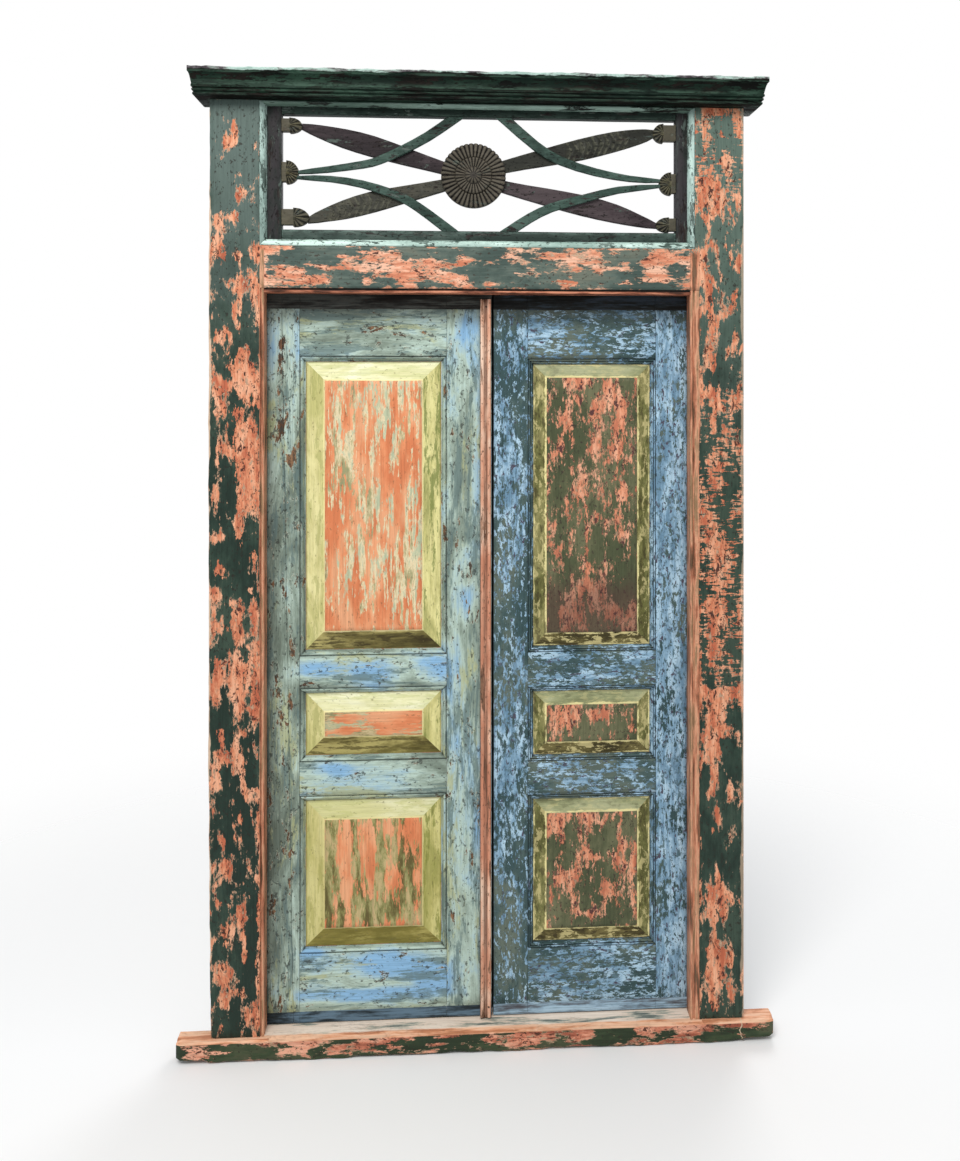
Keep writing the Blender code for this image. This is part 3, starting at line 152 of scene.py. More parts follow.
RIGHT_FIELD_CORAL = [
    (26, 175.5, 3.8, 1.6), (34.5, 173.5, 1.5, 3), (23.5, 165, 1.6, 5), (31.5, 168.5, 1.6, 3),
    (26.5, 171, 1, 1.2), (38, 169, 0.9, 2), (37.5, 158.5, 1.7, 7), (22, 158, 0.6, 2), (25.3, 155, 0.6, 6),
    (31, 155, 0.6, 4), (39, 145.5, 1.4, 2.8), (27, 145.5, 1.3, 2.5), (29, 132.5, 0.9, 9),
    (39, 134, 1.6, 1.6), (17.7, 150, 0.4, 6), (29, 120, 4, 5, 0.5), (37, 113, 5, 3, 0.6),
    (25, 113, 4, 3, 0.5), (22, 86.5, 4.5, 2.8), (32.5, 86, 3.5, 1), (41, 82.5, 1.3, 2), (29, 58, 4.5, 1.3),
    (21.5, 50.5, 0.9, 6), (24, 42.5, 4, 1.6), (29, 47, 0.9, 2.5), (31, 48, 2, 1.3), (37, 47.5, 2.2, 3),
    (34.5, 38.5, 2.3, 2.3), (36.5, 40, 0.6, 5), (41.5, 46, 0.6, 4), (19.5, 38, 0.7, 2), (41, 37, 0.7, 2.5),
    (29, 32.5, 3.5, 0.8), (19.3, 57, 0.9, 2),
]
LEFT_FIELD_TONE = [
    (-38, 132, 1.6, 12, -1), (-39, 154, 1, 4, -0.6), (-31.5, 162, 1.2, 8, -0.8), (-25, 155, 0.9, 6, -0.6),
    (-21, 146, 1.3, 12, -0.8), (-16.5, 158, 1.2, 12, -0.6), (-28, 112, 12, 3, -0.8),
    (-24, 118, 2.5, 4, -0.6), (-35, 156, 1, 5, 0.8), (-28, 143, 1.6, 4, 0.7), (-37.5, 167, 2, 4, 0.6),
    (-25, 166, 1.5, 4, 0.8), (-32, 132, 1, 6, 0.6), (-35.5, 86, 3, 2, -1), (-22, 86, 6, 2, -1.2),
    (-39.5, 85, 1.2, 2, 0.8), (-31, 86.5, 1.5, 1, 0.6), (-35.5, 50, 1.3, 9, -1.6), (-29, 50, 1.6, 9, -1.6),
    (-18, 56.5, 3, 3, -1.2), (-23, 44, 1.4, 4.5, -1.2), (-24, 56.5, 1.2, 2, -1), (-16.5, 43, 0.9, 3, -1),
    (-20, 34.5, 0.5, 3, -1), (-39, 50, 1.8, 11, 0.8), (-32.5, 45, 1, 8, 0.7), (-26, 50, 1.6, 6, 0.7),
    (-28, 35, 7, 2.5),
]


def linear(color):
    """A linear colour from three 8-bit sRGB numbers."""
    parts = [c / 255 for c in color]
    return tuple(c / 12.92 if c <= 0.04045 else ((c + 0.055) / 1.055) ** 2.4 for c in parts) + (1,)


class Shade:
    """Short names for the shader nodes that the paints are made of."""

    def __init__(self, name, grain="Z", seed=0):
        self.mat = bpy.data.materials.new(name)
        self.mat.use_nodes = True
        self.nodes = self.mat.node_tree.nodes
        self.links = self.mat.node_tree.links
        self.bsdf = self.nodes["Principled BSDF"]
        self.place = self.nodes.new("ShaderNodeTexCoord").outputs["Object"]
        self.grain = grain
        self.seed = seed
        self.fibre = self.noise(240, 0.035, 3, 0.6)

    def put(self, socket, value):
        """Links a socket or sets it. A tuple is a colour of three 8-bit numbers."""
        if isinstance(value, bpy.types.NodeSocket):
            self.links.new(value, socket)
        elif isinstance(value, tuple):
            socket.default_value = linear(value)
        else:
            socket.default_value = value

    def node(self, kind, values, **settings):
        """A new node with its settings, and its inputs linked or set."""
        node = self.nodes.new("ShaderNode" + kind)
        for name, setting in settings.items():
            setattr(node, name, setting)
        for key, value in values.items():
            self.put(node.inputs[key], value)
        return node

    def noise(self, scale, squash=1, detail=5, rough=0.62, warp=0, grain=None):
        """Noise of so many cells a metre, drawn out along the grain where squash is under 1."""
        self.seed += 1.37
        stretch = [1, 1, 1]
        stretch["XYZ".index(grain or self.grain)] = squash
        shift = [self.seed * 1.7, self.seed * 0.9, self.seed * 2.3]
        place = self.node("Mapping", {"Vector": self.place, "Scale": stretch, "Location": shift})
        return self.node("TexNoise", {"Vector": place.outputs["Vector"], "Scale": scale, "Detail": detail,
                                      "Roughness": rough, "Distortion": warp}).outputs["Fac"]

    def math(self, kind, *terms):
        return self.node("Math", dict(enumerate(terms)), operation=kind).outputs[0]

    def add(self, *terms):
        return reduce(lambda a, b: self.math("ADD", a, b), terms)

    def times(self, *terms):
        return reduce(lambda a, b: self.math("MULTIPLY", a, b), terms)

    def invert(self, value):
        return self.math("SUBTRACT", 1, value)

    def swing(self, value, amount):
        """A noise value swung round zero, by an amount."""
        return self.math("MULTIPLY_ADD", value, amount, -0.5 * amount)

    def band(self, value, low, high, to_low=0, to_high=1):
        """A smooth step as the value goes from low to high."""
        ends = {"Value": value, "From Min": low, "From Max": high, "To Min": to_low, "To Max": to_high}
        return self.node("MapRange", ends, interpolation_type="SMOOTHSTEP").outputs["Result"]

    def mix(self, factor, a, b):
        return self.node("Mix", {0: factor, 6: a, 7: b}, data_type="RGBA").outputs[2]

    def shade(self, color, factor):
        """A colour times a grey factor."""
        return self.node("VectorMath", {0: color, "Scale": factor}, operation="SCALE").outputs[0]

    def blend(self, value, colors, low=0.36, high=0.64):
        """A noise value spread over several colours."""
        node = self.node("ValToRGB", {"Fac": self.band(value, low, high)})
        ramp = node.color_ramp
        while len(ramp.elements) < len(colors):
            ramp.elements.new(0.5)
        for k, color in enumerate(colors):
            ramp.elements[k].position = k / (len(colors) - 1)
            ramp.elements[k].color = linear(color)
        return node.outputs["Color"]

    def attribute(self, name):
        return self.node("Attribute", {}, attribute_name=name).outputs["Fac"]

    def axis(self, name):
        return self.node("SeparateXYZ", {0: self.place}).outputs[name]

    def arris(self, radius):
        """1 on a convex or hollow edge, 0 on a flat."""
        rounded = self.node("Bevel", {"Radius": radius}, samples=3).outputs["Normal"]
        flat = self.node("NewGeometry", {}).outputs["True Normal"]
        dot = self.node("VectorMath", {0: rounded, 1: flat}, operation="DOT_PRODUCT")
        return self.band(dot.outputs["Value"], 0.995, 0.86)

    def crevice(self, color, shade_and_dirt, reach=0.014, most=0.75):
        """The colour darkened where ambient occlusion finds corners and mouldings: painted shade, and the
        grime that gathers there.
        """
        open_sky = self.node("AmbientOcclusion", {"Distance": reach}, samples=4).outputs["AO"]
        return self.mix(self.band(open_sky, 0.86, 0.5, 0, most), color, shade_and_dirt)

    def grained(self, color, dark=0.82, pale=1.06):
        """The colour with the wood's fibres showing as darker and paler lines."""
        return self.shade(color, self.band(self.fibre, 0.3, 0.62, dark, pale))

    def finish(self, color, rough, height, depth=0.0011, gloss=0.22):
        """The material, with its bump this deep."""
        self.put(self.bsdf.inputs["Base Color"], color)
        self.put(self.bsdf.inputs["Roughness"], rough)
        self.bsdf.inputs["Specular IOR Level"].default_value = gloss
        bump = self.node("Bump", {"Distance": depth, "Height": height})
        self.put(self.bsdf.inputs["Normal"], bump.outputs["Normal"])
        return self.mat


def flaked(name, grain, top, under, seed, size=19, squash=0.45, level=0.57, ragged=0.5, fray=0.34,
           streak=0.14, gain=0.2, scored=0, faded=None, rim=None, deep=None, deep_level=0.58,
           specks=None, islands=0, chips=0, shade_and_dirt=None, edge=0, edge_color=None, tint=None,
           rough=(0.5, 0.72), gloss=0.22):
    """One paint flaked off another. The wear attribute says where the top coat has gone, and three
    sizes of noise break its edge up. Islands of it stay in the bare places, and chips come out of
    it elsewhere. Deep shows where the under coat has gone too, and specks are small dark losses."""
    s = Shade(name, grain, seed)
    big = s.noise(size, squash, 6, 0.62, 0.4)
    mid = s.noise(size * 3.1, squash, 5, 0.66)
    fine = s.noise(size * 8.5, squash * 0.8, 4, 0.7)
    field = s.add(big, s.swing(mid, ragged), s.swing(fine, fray), s.swing(s.fibre, streak),
                  s.math("MULTIPLY", s.attribute("wear"), gain))
    if scored:
        marks = s.noise(115, 0.22, 3, 0.6, 0.6, grain="X" if grain == "Z" else "Z")
        field = s.add(field, s.times(s.swing(marks, scored), s.attribute("tone")))
    if edge:
        arris = s.times(s.arris(0.004), s.band(mid, 0.42, 0.56))
        if not edge_color:
            field = s.math("MULTIPLY_ADD", arris, edge, field)
    gone = s.band(field, level, level + 0.016)
    if islands:
        small = s.noise(92, squash * 1.1, 4, 0.7, 0.3)
        gone = s.times(gone, s.invert(s.band(small, islands, islands + 0.02)))
        if chips:
            gone = s.math("MAXIMUM", gone, s.band(small, chips, chips - 0.02))
    tones = s.add(s.noise(7, 0.5, 4, 0.6), s.swing(mid, 0.4))
    over = s.blend(tones, top)
    if faded:
        over = s.mix(s.band(s.add(s.axis("Z"), s.swing(big, 0.8)), faded[1], faded[2]), over, faded[0])
    lower = s.blend(s.add(s.noise(36, 0.25, 5, 0.66, 0.4), s.swing(fine, 0.3)), under)
    color = s.mix(gone, s.grained(over, 0.84, 1.06), s.grained(lower, 0.8, 1.05))
    height = s.add(s.times(gone, -0.5), s.times(s.fibre, 0.5), s.times(fine, 0.45))
    if rim:
        near = s.times(s.band(field, level - 0.03, level - 0.008), s.invert(gone), s.band(big, 0.44, 0.54))
        color = s.mix(s.times(near, 0.6), color, rim)
    if deep:
        spots = s.add(s.noise(72, 0.5, 5, 0.7, 0.5), s.swing(s.fibre, 0.2), s.swing(fine, 0.2))
        hole = s.times(s.band(spots, deep_level, deep_level + 0.03), gone)
        color = s.mix(hole, color, deep)
        height = s.add(height, s.times(hole, -0.45))
    if specks:
        dots = s.band(s.noise(150, 0.6, 3, 0.7), 0.6, 0.64)
        color = s.mix(s.times(dots, 0.8), color, specks)
        height = s.add(height, s.times(dots, -0.3))
    # Paler colour on arrises and hollow edges: worn paint, and a painted highlight on the arrises.
    if edge and edge_color:
        color = s.mix(s.times(arris, edge), color, edge_color)
    if tint:
        color = tint(s, color)
    # Painted shade from ambient occlusion in the corners, standing also for grime there.
    if shade_and_dirt:
        color = s.crevice(color, shade_and_dirt)
    roughness = s.band(s.add(gone, s.swing(fine, 0.8)), 0, 1, rough[0], rough[1])
    return s.finish(color, roughness, height, gloss=gloss)


def patches(rows, points, front=0, fade=0.05):
    """The sum of soft oval worn places at each point, fading behind the front face."""
    total = np.zeros(len(points))
    for x, z, rx, rz, *strength in rows:
        away = ((points[:, 0] * 100 - x) / rx) ** 2 + ((points[:, 2] * 100 - z) / rz) ** 2
        total += (strength[0] if strength else 1) * np.exp(-away)
    return total * np.clip(1 - (points[:, 1] - front) / fade, 0.15, 1)


def cut_grid(bm, axis, cell):
    """Cuts a mesh into slices no thicker than the cell along one axis."""
    values = [v.co[axis] for v in bm.verts]
    low, high = min(values), max(values)
    count = int((high - low) / cell)
    normal = Vector((0, 0, 0))
    normal[axis] = 1
    rest = bm.verts[:] + bm.edges[:] + bm.faces[:]
    for k in range(1, count + 1):
        at = low + (high - low) * k / (count + 1)
        point = Vector((0, 0, 0))
        point[axis] = at
        bmesh.ops.bisect_plane(bm, geom=rest, plane_co=point, plane_no=normal, dist=1e-6)
        faces = [f for f in bm.faces if max(v.co[axis] for v in f.verts) > at + 1e-5]
        edges = set(e for f in faces for e in f.edges)
        verts = set(v for f in faces for v in f.verts)
        rest = list(verts) + list(edges) + faces


def soften(bm, width):
    """Rounds the long arrises between wide faces."""
    chosen = []
    for e in bm.edges:
        if len(e.link_faces) != 2 or e.calc_length() < 0.02:
            continue
        if e.calc_face_angle(0) < 0.7:
            continue
        if min(f.calc_area() / e.calc_length() for f in e.link_faces) < 0.006:
            continue
        chosen.append(e)
    if chosen:
        bmesh.ops.bevel(bm, geom=chosen, offset=width, segments=2, profile=0.5,
                        affect="EDGES", clamp_overlap=True)


def wander(bm, amount, low, high):
    """Moves every vertex a little, as hand-planed and weathered wood does, inside a box."""
    for v in bm.verts:
        p = v.co
        a = noise.noise_vector(Vector((p.x * 9, p.y * 9, p.z * 5)))
        b = noise.noise_vector(Vector((p.x * 40 + 7, p.y * 40, p.z * 26)))
        move = a * amount + b * (amount * 0.35)
        for k in range(3):
            v.co[k] = min(max(p[k] + move[k], low[k]), high[k])


BODY_OF = {}
for body_name, members in frame["record"]["behaviour"]["bodies"].items():
    for member in members:
        BODY_OF[member] = body_name


def add_piece(bm, node, mats, slot, smooth=0.6, **rules):
    """Makes the mesh a piece that stands in for its CAD node. Each rule gives a value at every point,
    kept as an attribute of the rule's name."""
    bmesh.ops.recalc_face_normals(bm, faces=bm.faces[:])
    mesh = bpy.data.meshes.new(node + "_worn")
    bm.to_mesh(mesh)
    bm.free()
    points = np.array([v.co[:] for v in mesh.vertices])
    for name, rule in rules.items():
        if rule:
            layer = mesh.attributes.new(name, "FLOAT", "POINT")
            layer.data.foreach_set("value", np.asarray(rule(points), np.float32))
    for mat in mats:
        mesh.materials.append(mat)
    for poly in mesh.polygons:
        poly.use_smooth = True
    mesh.set_sharp_from_angle(angle=smooth)
    obj = bpy.data.objects.new(node + "_worn", mesh)
    bpy.context.scene.collection.objects.link(obj)
    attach(obj, BODY_OF[node])
    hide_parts(node)


def cad_copy(node):
    """The node's mesh, joined at its seams, with flat stretches as single faces."""
    bm = bmesh.new()
    bm.from_mesh(NODES[node].data)
    bmesh.ops.remove_doubles(bm, verts=bm.verts[:], dist=2e-6)
    bmesh.ops.dissolve_limit(bm, angle_limit=0.004, verts=bm.verts[:], edges=bm.edges[:])
    return bm


def dress(node, mats, slot, cells=(0.02, None, 0.02), round_to=0.0012, amount=0.0004,
          wear=None, tone=None, carve=None, pick=None, close=None):
    """Replaces a CAD node with a copy that has rounded arrises, a slight wander and its wear."""
    bm = cad_copy(node)
    low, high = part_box(node)
    if round_to:
        soften(bm, round_to)
    for axis, cell in enumerate(cells):
        if cell:
            cut_grid(bm, axis, cell)
    if carve:
        carve(bm)
    wander(bm, amount, low, high)
    if close:
        close(bm)
    if pick:
        for f in bm.faces:
            f.material_index = pick(f)
    add_piece(bm, node, mats, slot, wear=wear, tone=tone)


# Frame: dark green over coral, faded to slate where the light reaches it.
GREENS = [(32, 48, 40), (44, 62, 52), (58, 74, 62)]
SLATE = (86, 102, 96)
CORALS = [(184, 100, 72), (216, 140, 104), (232, 172, 138)]
CREAM = (228, 184, 152)
OXBLOOD = (82, 50, 42)

# Places that the paints go by, in metres.
DOOR_HALF = 0.56
STRIP_LEFT_X = 0.572
STRIP_RIGHT_X = 0.5855
STRIP_HEAD = 2.1
ARRIS_X = 0.7
LOW_BEAD_HEAD = 1.9952
QUIRK_HEAD = 2.0001
CRACK_X = 0.694
# Painted shadow under the transom on the leaves, from the first height up to the second.
SHADE_FOOT = 1.884
SHADE_HEAD = 1.938
FOOT_LINE = 0.1
HEAD_LINE = 1.9375
STAIN_HEAD = 1.22
STAIN_FOOT = 1.01
ASTRAGAL_X = 0.016
NAILS = [(0.0175, 1.956), (0.024, 0.089)]
NAIL_R = 0.0027


def inner_strip(to_x, outer):
    """Bare coral and olive on a jamb's inner beads, out to x, and cream on its outer arris."""
    def tint(s, color):
        x = s.math("ABSOLUTE", s.axis("X"))
        wobble = s.noise(26, 0.3)
        lines = s.add(s.noise(75, 0.06, 5, 0.66), s.swing(wobble, 0.5))
        strip = s.blend(lines, [(96, 74, 54), (190, 120, 90), (226, 166, 132), (150, 120, 88)],
                        0.34, 0.66)
        near = s.band(s.add(x, s.swing(wobble, 0.014)), to_x, to_x - 0.002)
        near = s.times(near, s.band(s.axis("Z"), STRIP_HEAD + 0.005, STRIP_HEAD - 0.005))
        color = s.mix(s.times(near, 0.9), color, strip)
        far = s.times(s.band(s.add(x, s.swing(wobble, 0.03)), ARRIS_X - 0.0035, ARRIS_X, 0, outer),
                      s.band(s.axis("Y"), 0.01, 0.004))
        return s.mix(far, color, (226, 196, 168))
    return tint


frame_left = flaked("frame_paint_left", "Z", GREENS, CORALS, 1, faded=(SLATE, 1.7, 2.4), rim=CREAM,
                    gain=0.26, islands=0.59, deep=OXBLOOD, specks=(40, 36, 30), edge=0.12,
                    tint=inner_strip(STRIP_LEFT_X, 0.85))
frame_right = flaked("frame_paint_right", "Z", GREENS, CORALS, 2, faded=((88, 106, 96), 1.4, 2.3),
                     rim=CREAM, gain=0.26, islands=0.59, deep=OXBLOOD, specks=(40, 36, 30), edge=0.14,
                     scored=1.3, tint=inner_strip(STRIP_RIGHT_X, 0.4))


def bead_line(s, color):
    """Bright coral on the transom's bottom bead, with painted shade in the quirk over it."""
    z = s.axis("Z")
    worn = s.noise(60, 0.15)
    coral = s.blend(worn, [(66, 42, 32), (154, 92, 68), (208, 140, 110)], 0.38, 0.62)
    over = s.band(z, LOW_BEAD_HEAD - 0.0004, LOW_BEAD_HEAD + 0.0004)
    color = s.mix(s.invert(over), color, coral)
    # Painted shade in the quirk.
    quirk_shade = s.times(over, s.band(z, QUIRK_HEAD + 0.0003, QUIRK_HEAD - 0.0003))
    return s.mix(s.times(quirk_shade, 0.9), color, (38, 32, 28))


transom_paint = flaked("frame_paint_level", "X", [(66, 82, 76), (88, 102, 94), (104, 110, 98)],
                       [(196, 118, 88), (222, 152, 120), (236, 186, 158)], 3, size=20,
                       squash=0.4, level=0.605, gain=0.22, rim=CREAM, islands=0.6, deep=OXBLOOD,
                       deep_level=0.6, specks=(60, 50, 42), edge=0.1, tint=bead_line)

# Cornice: bottle green flaked to near black, mint where the sky has bleached its top arris.
MINTS = [(152, 180, 170), (184, 210, 200), (210, 236, 226)]
SHELF_TOP = CAD_BOX[1].z


def bleached(s, color):
    ragged = s.add(s.swing(s.noise(34, 0.4, 5, 0.68), 0.016), s.swing(s.noise(9, 0.5), 0.012))
    top = s.band(s.add(s.axis("Z"), ragged), SHELF_TOP - 0.0095, SHELF_TOP - 0.0075)
    worn = s.add(s.noise(30, 0.35, 6, 0.7, 0.4), s.swing(s.fibre, 0.15))
    mint = s.blend(worn, [(150, 178, 168), (184, 208, 200), (166, 190, 180), (126, 132, 128),
                          (84, 76, 82), (46, 46, 44)], 0.34, 0.68)
    return s.mix(top, color, s.grained(mint, 0.88, 1.03))


BOTTLE = [(14, 28, 22), (24, 42, 33), (36, 58, 46)]
CHARRED = [(9, 11, 9), (17, 17, 14), (28, 23, 20)]
# The cornice's and head's edge colours: worn paint, with a painted highlight on the arrises.
cornice_paint = flaked("cornice_paint", "X", BOTTLE, CHARRED, 5, size=26, squash=0.2, level=0.49,
                       edge=0.7, edge_color=(66, 92, 78), specks=(8, 8, 7), tint=bleached, gloss=0.08)
head_paint = flaked("head_paint", "X", BOTTLE, CHARRED, 6, size=24, squash=0.25, level=0.52,
                    edge=0.5, edge_color=(76, 104, 88), specks=(8, 8, 7), gloss=0.08)

mint_level = flaked("mint_bead", "X", MINTS, [(58, 76, 68), (88, 108, 100), (116, 134, 126)], 7,
                    size=44, squash=0.3, level=0.555, rim=(206, 228, 220), specks=(60, 70, 64))
mint_upright = flaked("mint_bead_upright", "Z", [(130, 154, 146), (160, 184, 176), (194, 220, 212)],
                      [(54, 68, 62), (82, 98, 92), (104, 120, 114)], 8, size=44, squash=0.3,
                      level=0.52, rim=(196, 220, 212), specks=(60, 70, 64))
mint_lost = flaked("mint_bead_lost", "X", [(92, 116, 104), (122, 146, 134), (150, 176, 164)], CHARRED,
                   9, size=44, squash=0.2, level=0.57, edge=0.5, edge_color=(160, 186, 174))


def grille(name, grain, colors, seed, edge_color, edge=0.5, size=34, tint=None):
    return flaked(name, grain, colors, UMBERS, seed, size=size,
                  squash=0.3, level=0.59, edge=edge, edge_color=edge_color, specks=(16, 16, 14),
                  tint=tint, gloss=0.1)


def grooves(s, color):
    """Darker in the carver's cuts and paler on the ridges between them."""
    cut = s.attribute("groove")
    color = s.mix(s.band(cut, 0.16, 0.02, 0, 0.35), color, (118, 111, 94))
    return s.mix(s.band(cut, 0.42, 0.8, 0, 0.94), color, (17, 16, 14))


UMBERS = [(34, 28, 28), (56, 50, 48), (84, 96, 90)]
# The grille's edge colours: worn paint, with a painted highlight on the arrises.
grille_v = grille("grille_paint_upright", "Z", [(30, 34, 32), (42, 46, 44), (54, 51, 53)], 10, (84, 98, 92))
grille_h = grille("grille_paint_level", "X", [(46, 58, 53), (63, 78, 72), (80, 92, 86)], 11,
                  (120, 146, 136), 0.6)
grille_dark = grille("grille_paint_top", "X", [(26, 38, 33), (36, 50, 44), (46, 60, 54)], 12, (84, 104, 94))
bar_paint = grille("bar_paint", "X", [(42, 58, 52), (56, 76, 68), (74, 94, 86)], 13, (104, 128, 118), 0.55)
plain_bar_paint = grille("plain_bar_paint", "X", [(44, 38, 40), (60, 51, 54), (76, 67, 69)], 14,
                         (96, 92, 92), 0.4)
feather_paint = grille("feather_paint", "X", [(46, 47, 42), (60, 60, 54), (74, 72, 63)], 15, (108, 108, 92),
                       0.5)
rosette_paint = grille("rosette_paint", "X", [(52, 49, 45), (66, 62, 57), (82, 77, 70)], 16, (114, 107, 94),
                       0.3, size=60, tint=grooves)
boss_paint = grille("boss_paint", "X", [(44, 45, 39), (57, 57, 48), (72, 70, 58)], 17, (132, 126, 92), 0.45,
                    size=60, tint=grooves)


def trodden(s, color):
    """Cream where feet have worn the sill's top, orange round it, and a split in the right horn."""
    wobble = s.noise(22, 0.4)
    top = s.band(s.add(s.axis("Z"), s.swing(wobble, 0.003)), 0.049, 0.0508)
    orange = s.blend(s.noise(40, 0.15, 6, 0.66), [(196, 130, 94), (234, 168, 130), (246, 198, 164)],
                     0.36, 0.56)
    cream = s.blend(s.add(s.noise(26, 0.18, 6, 0.68), s.swing(s.fibre, 0.2)),
                    [(112, 122, 116), (192, 190, 174), (244, 222, 202), (250, 232, 214)], 0.34, 0.54)
    x = s.axis("X")
    inner = s.times(s.band(s.add(s.axis("Y"), s.swing(wobble, 0.016)), 0.004, 0.01),
                    s.band(s.math("ABSOLUTE", x), DOOR_HALF + 0.025, DOOR_HALF))
    color = s.mix(top, color, s.grained(s.mix(inner, orange, cream), 0.84, 1.03))
    off = s.math("ABSOLUTE", s.add(x, s.swing(s.noise(30, 1), 0.03), -CRACK_X))
    return s.mix(s.band(off, 0.0018, 0.001, 0, 0.8), color, (222, 196, 168))


sill_paint = flaked("sill_paint", "X", [(44, 56, 38), (58, 72, 48), (76, 80, 58)],
                    [(152, 84, 64), (206, 130, 102), (230, 170, 142)], 18, size=22, squash=0.34,
                    level=0.58, gain=0.26, rim=CREAM, islands=0.6, deep=(92, 58, 46), specks=(46, 38, 28),
                    edge=0.14, tint=trodden)


def shaded_under_head(s, color):
    """Painted shadow of the transom, darkening a leaf towards its head."""
    return s.shade(color, s.band(s.axis("Z"), SHADE_FOOT, SHADE_HEAD, 1, 0.42))


# Right leaf: blue scraped to a fine net over teal and olive.
# Ambient occlusion paints shade into the right leaf's corners, and its tint paints the transom's shadow at
# the head.
def right_leaf(name, grain, seed):
    return flaked(name, grain, [(55, 78, 80), (76, 95, 92), (98, 109, 98)],
                  [(104, 138, 162), (138, 172, 196), (174, 204, 222)], seed, size=14, squash=0.45,
                  level=0.535, ragged=0.8, fray=1.15, streak=0.34, gain=0.24, islands=0.555, chips=0.435,
                  deep=(78, 74, 88), shade_and_dirt=(24, 30, 34), deep_level=0.585, rim=(104, 134, 150),
                  specks=(48, 60, 62), tint=shaded_under_head)


right_v = right_leaf("right_leaf_upright", "Z", 19)
right_h = right_leaf("right_leaf_level", "X", 20)


def left_leaf(name, grain, seed, light=1):
    """Sage and pale blue streaked along the grain, with olive washes, dark specks and bare wood."""
    s = Shade(name, grain, seed)
    fine = s.noise(120, 0.3, 5, 0.7)
    wash = s.add(s.noise(10, 0.3, 6, 0.64, 0.6), s.swing(fine, 0.2), s.times(s.attribute("tone"), 0.3))
    color = s.blend(wash, [(104, 116, 104), (142, 158, 145), (176, 196, 184), (160, 188, 196),
                           (132, 174, 208)], 0.3, 0.78)
    olive = s.add(s.noise(15, 0.2, 6, 0.66, 0.5), s.swing(fine, 0.25))
    color = s.mix(s.band(olive, 0.55, 0.62, 0, 0.75), color, (172, 176, 130))
    slate = s.add(s.noise(30, 0.14, 6, 0.68, 0.4), s.swing(s.fibre, 0.3), s.swing(fine, 0.3))
    color = s.mix(s.band(slate, 0.52, 0.6, 0, 0.8), color, (92, 112, 110))
    color = s.grained(color, 0.82 * light, 1.1 * light)
    loss = s.add(s.noise(32, 0.42, 6, 0.68, 0.4), s.swing(fine, 0.45), s.times(s.attribute("wear"), 0.13))
    bare = s.band(loss, 0.635, 0.65)
    wood = s.blend(s.noise(60, 0.1), [(84, 60, 44), (118, 86, 62), (148, 114, 84)])
    lip = s.times(s.band(loss, 0.6, 0.62), s.invert(bare))
    color = s.mix(s.times(lip, 0.5), color, (196, 204, 186))
    color = s.mix(bare, color, wood)
    dots = s.band(s.add(s.noise(125, 0.6, 4, 0.7, 0.3), s.swing(loss, 0.4)), 0.595, 0.62)
    color = s.mix(s.times(dots, 0.75), color, (58, 62, 57))
    # Painted shade: the transom's shadow at the head, and ambient occlusion in the corners and mouldings.
    color = s.crevice(shaded_under_head(s, color), (40, 44, 40))
    # Painted shadow of the jamb: the left leaf darker towards its hinge side.
    color = s.shade(color, s.band(s.axis("X"), 0.055 - DOOR_HALF, -DOOR_HALF, 1, 0.66))
    height = s.add(s.times(bare, -0.6), s.times(s.fibre, 0.6), s.times(fine, 0.4), s.times(dots, -0.35))
    return s.finish(color, s.band(fine, 0.3, 0.7, 0.5, 0.72), height)


left_v = left_leaf("left_leaf_upright", "Z", 21)
left_h = left_leaf("left_leaf_level", "X", 22, 1.06)


def band_paint(name, colors, seed):
    """The dark bands at the head and foot of the leaves: the head bands are dark paint with the transom's
    shadow painted over it, the foot bands dark paint.
    """
    s = Shade(name, "X", seed)
    fine = s.noise(90, 0.3, 5, 0.7)
    wash = s.add(s.noise(30, 0.14, 6, 0.68, 0.4), s.swing(s.fibre, 0.3), s.swing(fine, 0.25))
    color = s.grained(s.blend(wash, colors, 0.38, 0.62), 0.8, 1.06)
    return s.finish(color, s.band(fine, 0.3, 0.7, 0.52, 0.72),
                    s.add(s.times(s.fibre, 0.6), s.times(fine, 0.35)), gloss=0.12)


left_foot = band_paint("left_foot_band", [(34, 41, 43), (52, 64, 72), (74, 91, 103), (98, 122, 140)], 23)
right_foot = band_paint("right_foot_band",
                        [(84, 84, 90), (120, 136, 148), (142, 168, 188), (168, 196, 214)], 24)
# Head bands: dark paint, with the transom's shadow painted over it.
left_head_shade = band_paint("left_head_shade_band", [(26, 24, 22), (40, 39, 36), (54, 55, 52), (72, 74, 70)], 25)
right_head_shade = band_paint("right_head_shade_band", [(17, 17, 15), (25, 26, 25), (33, 37, 38), (48, 57, 66)], 26)


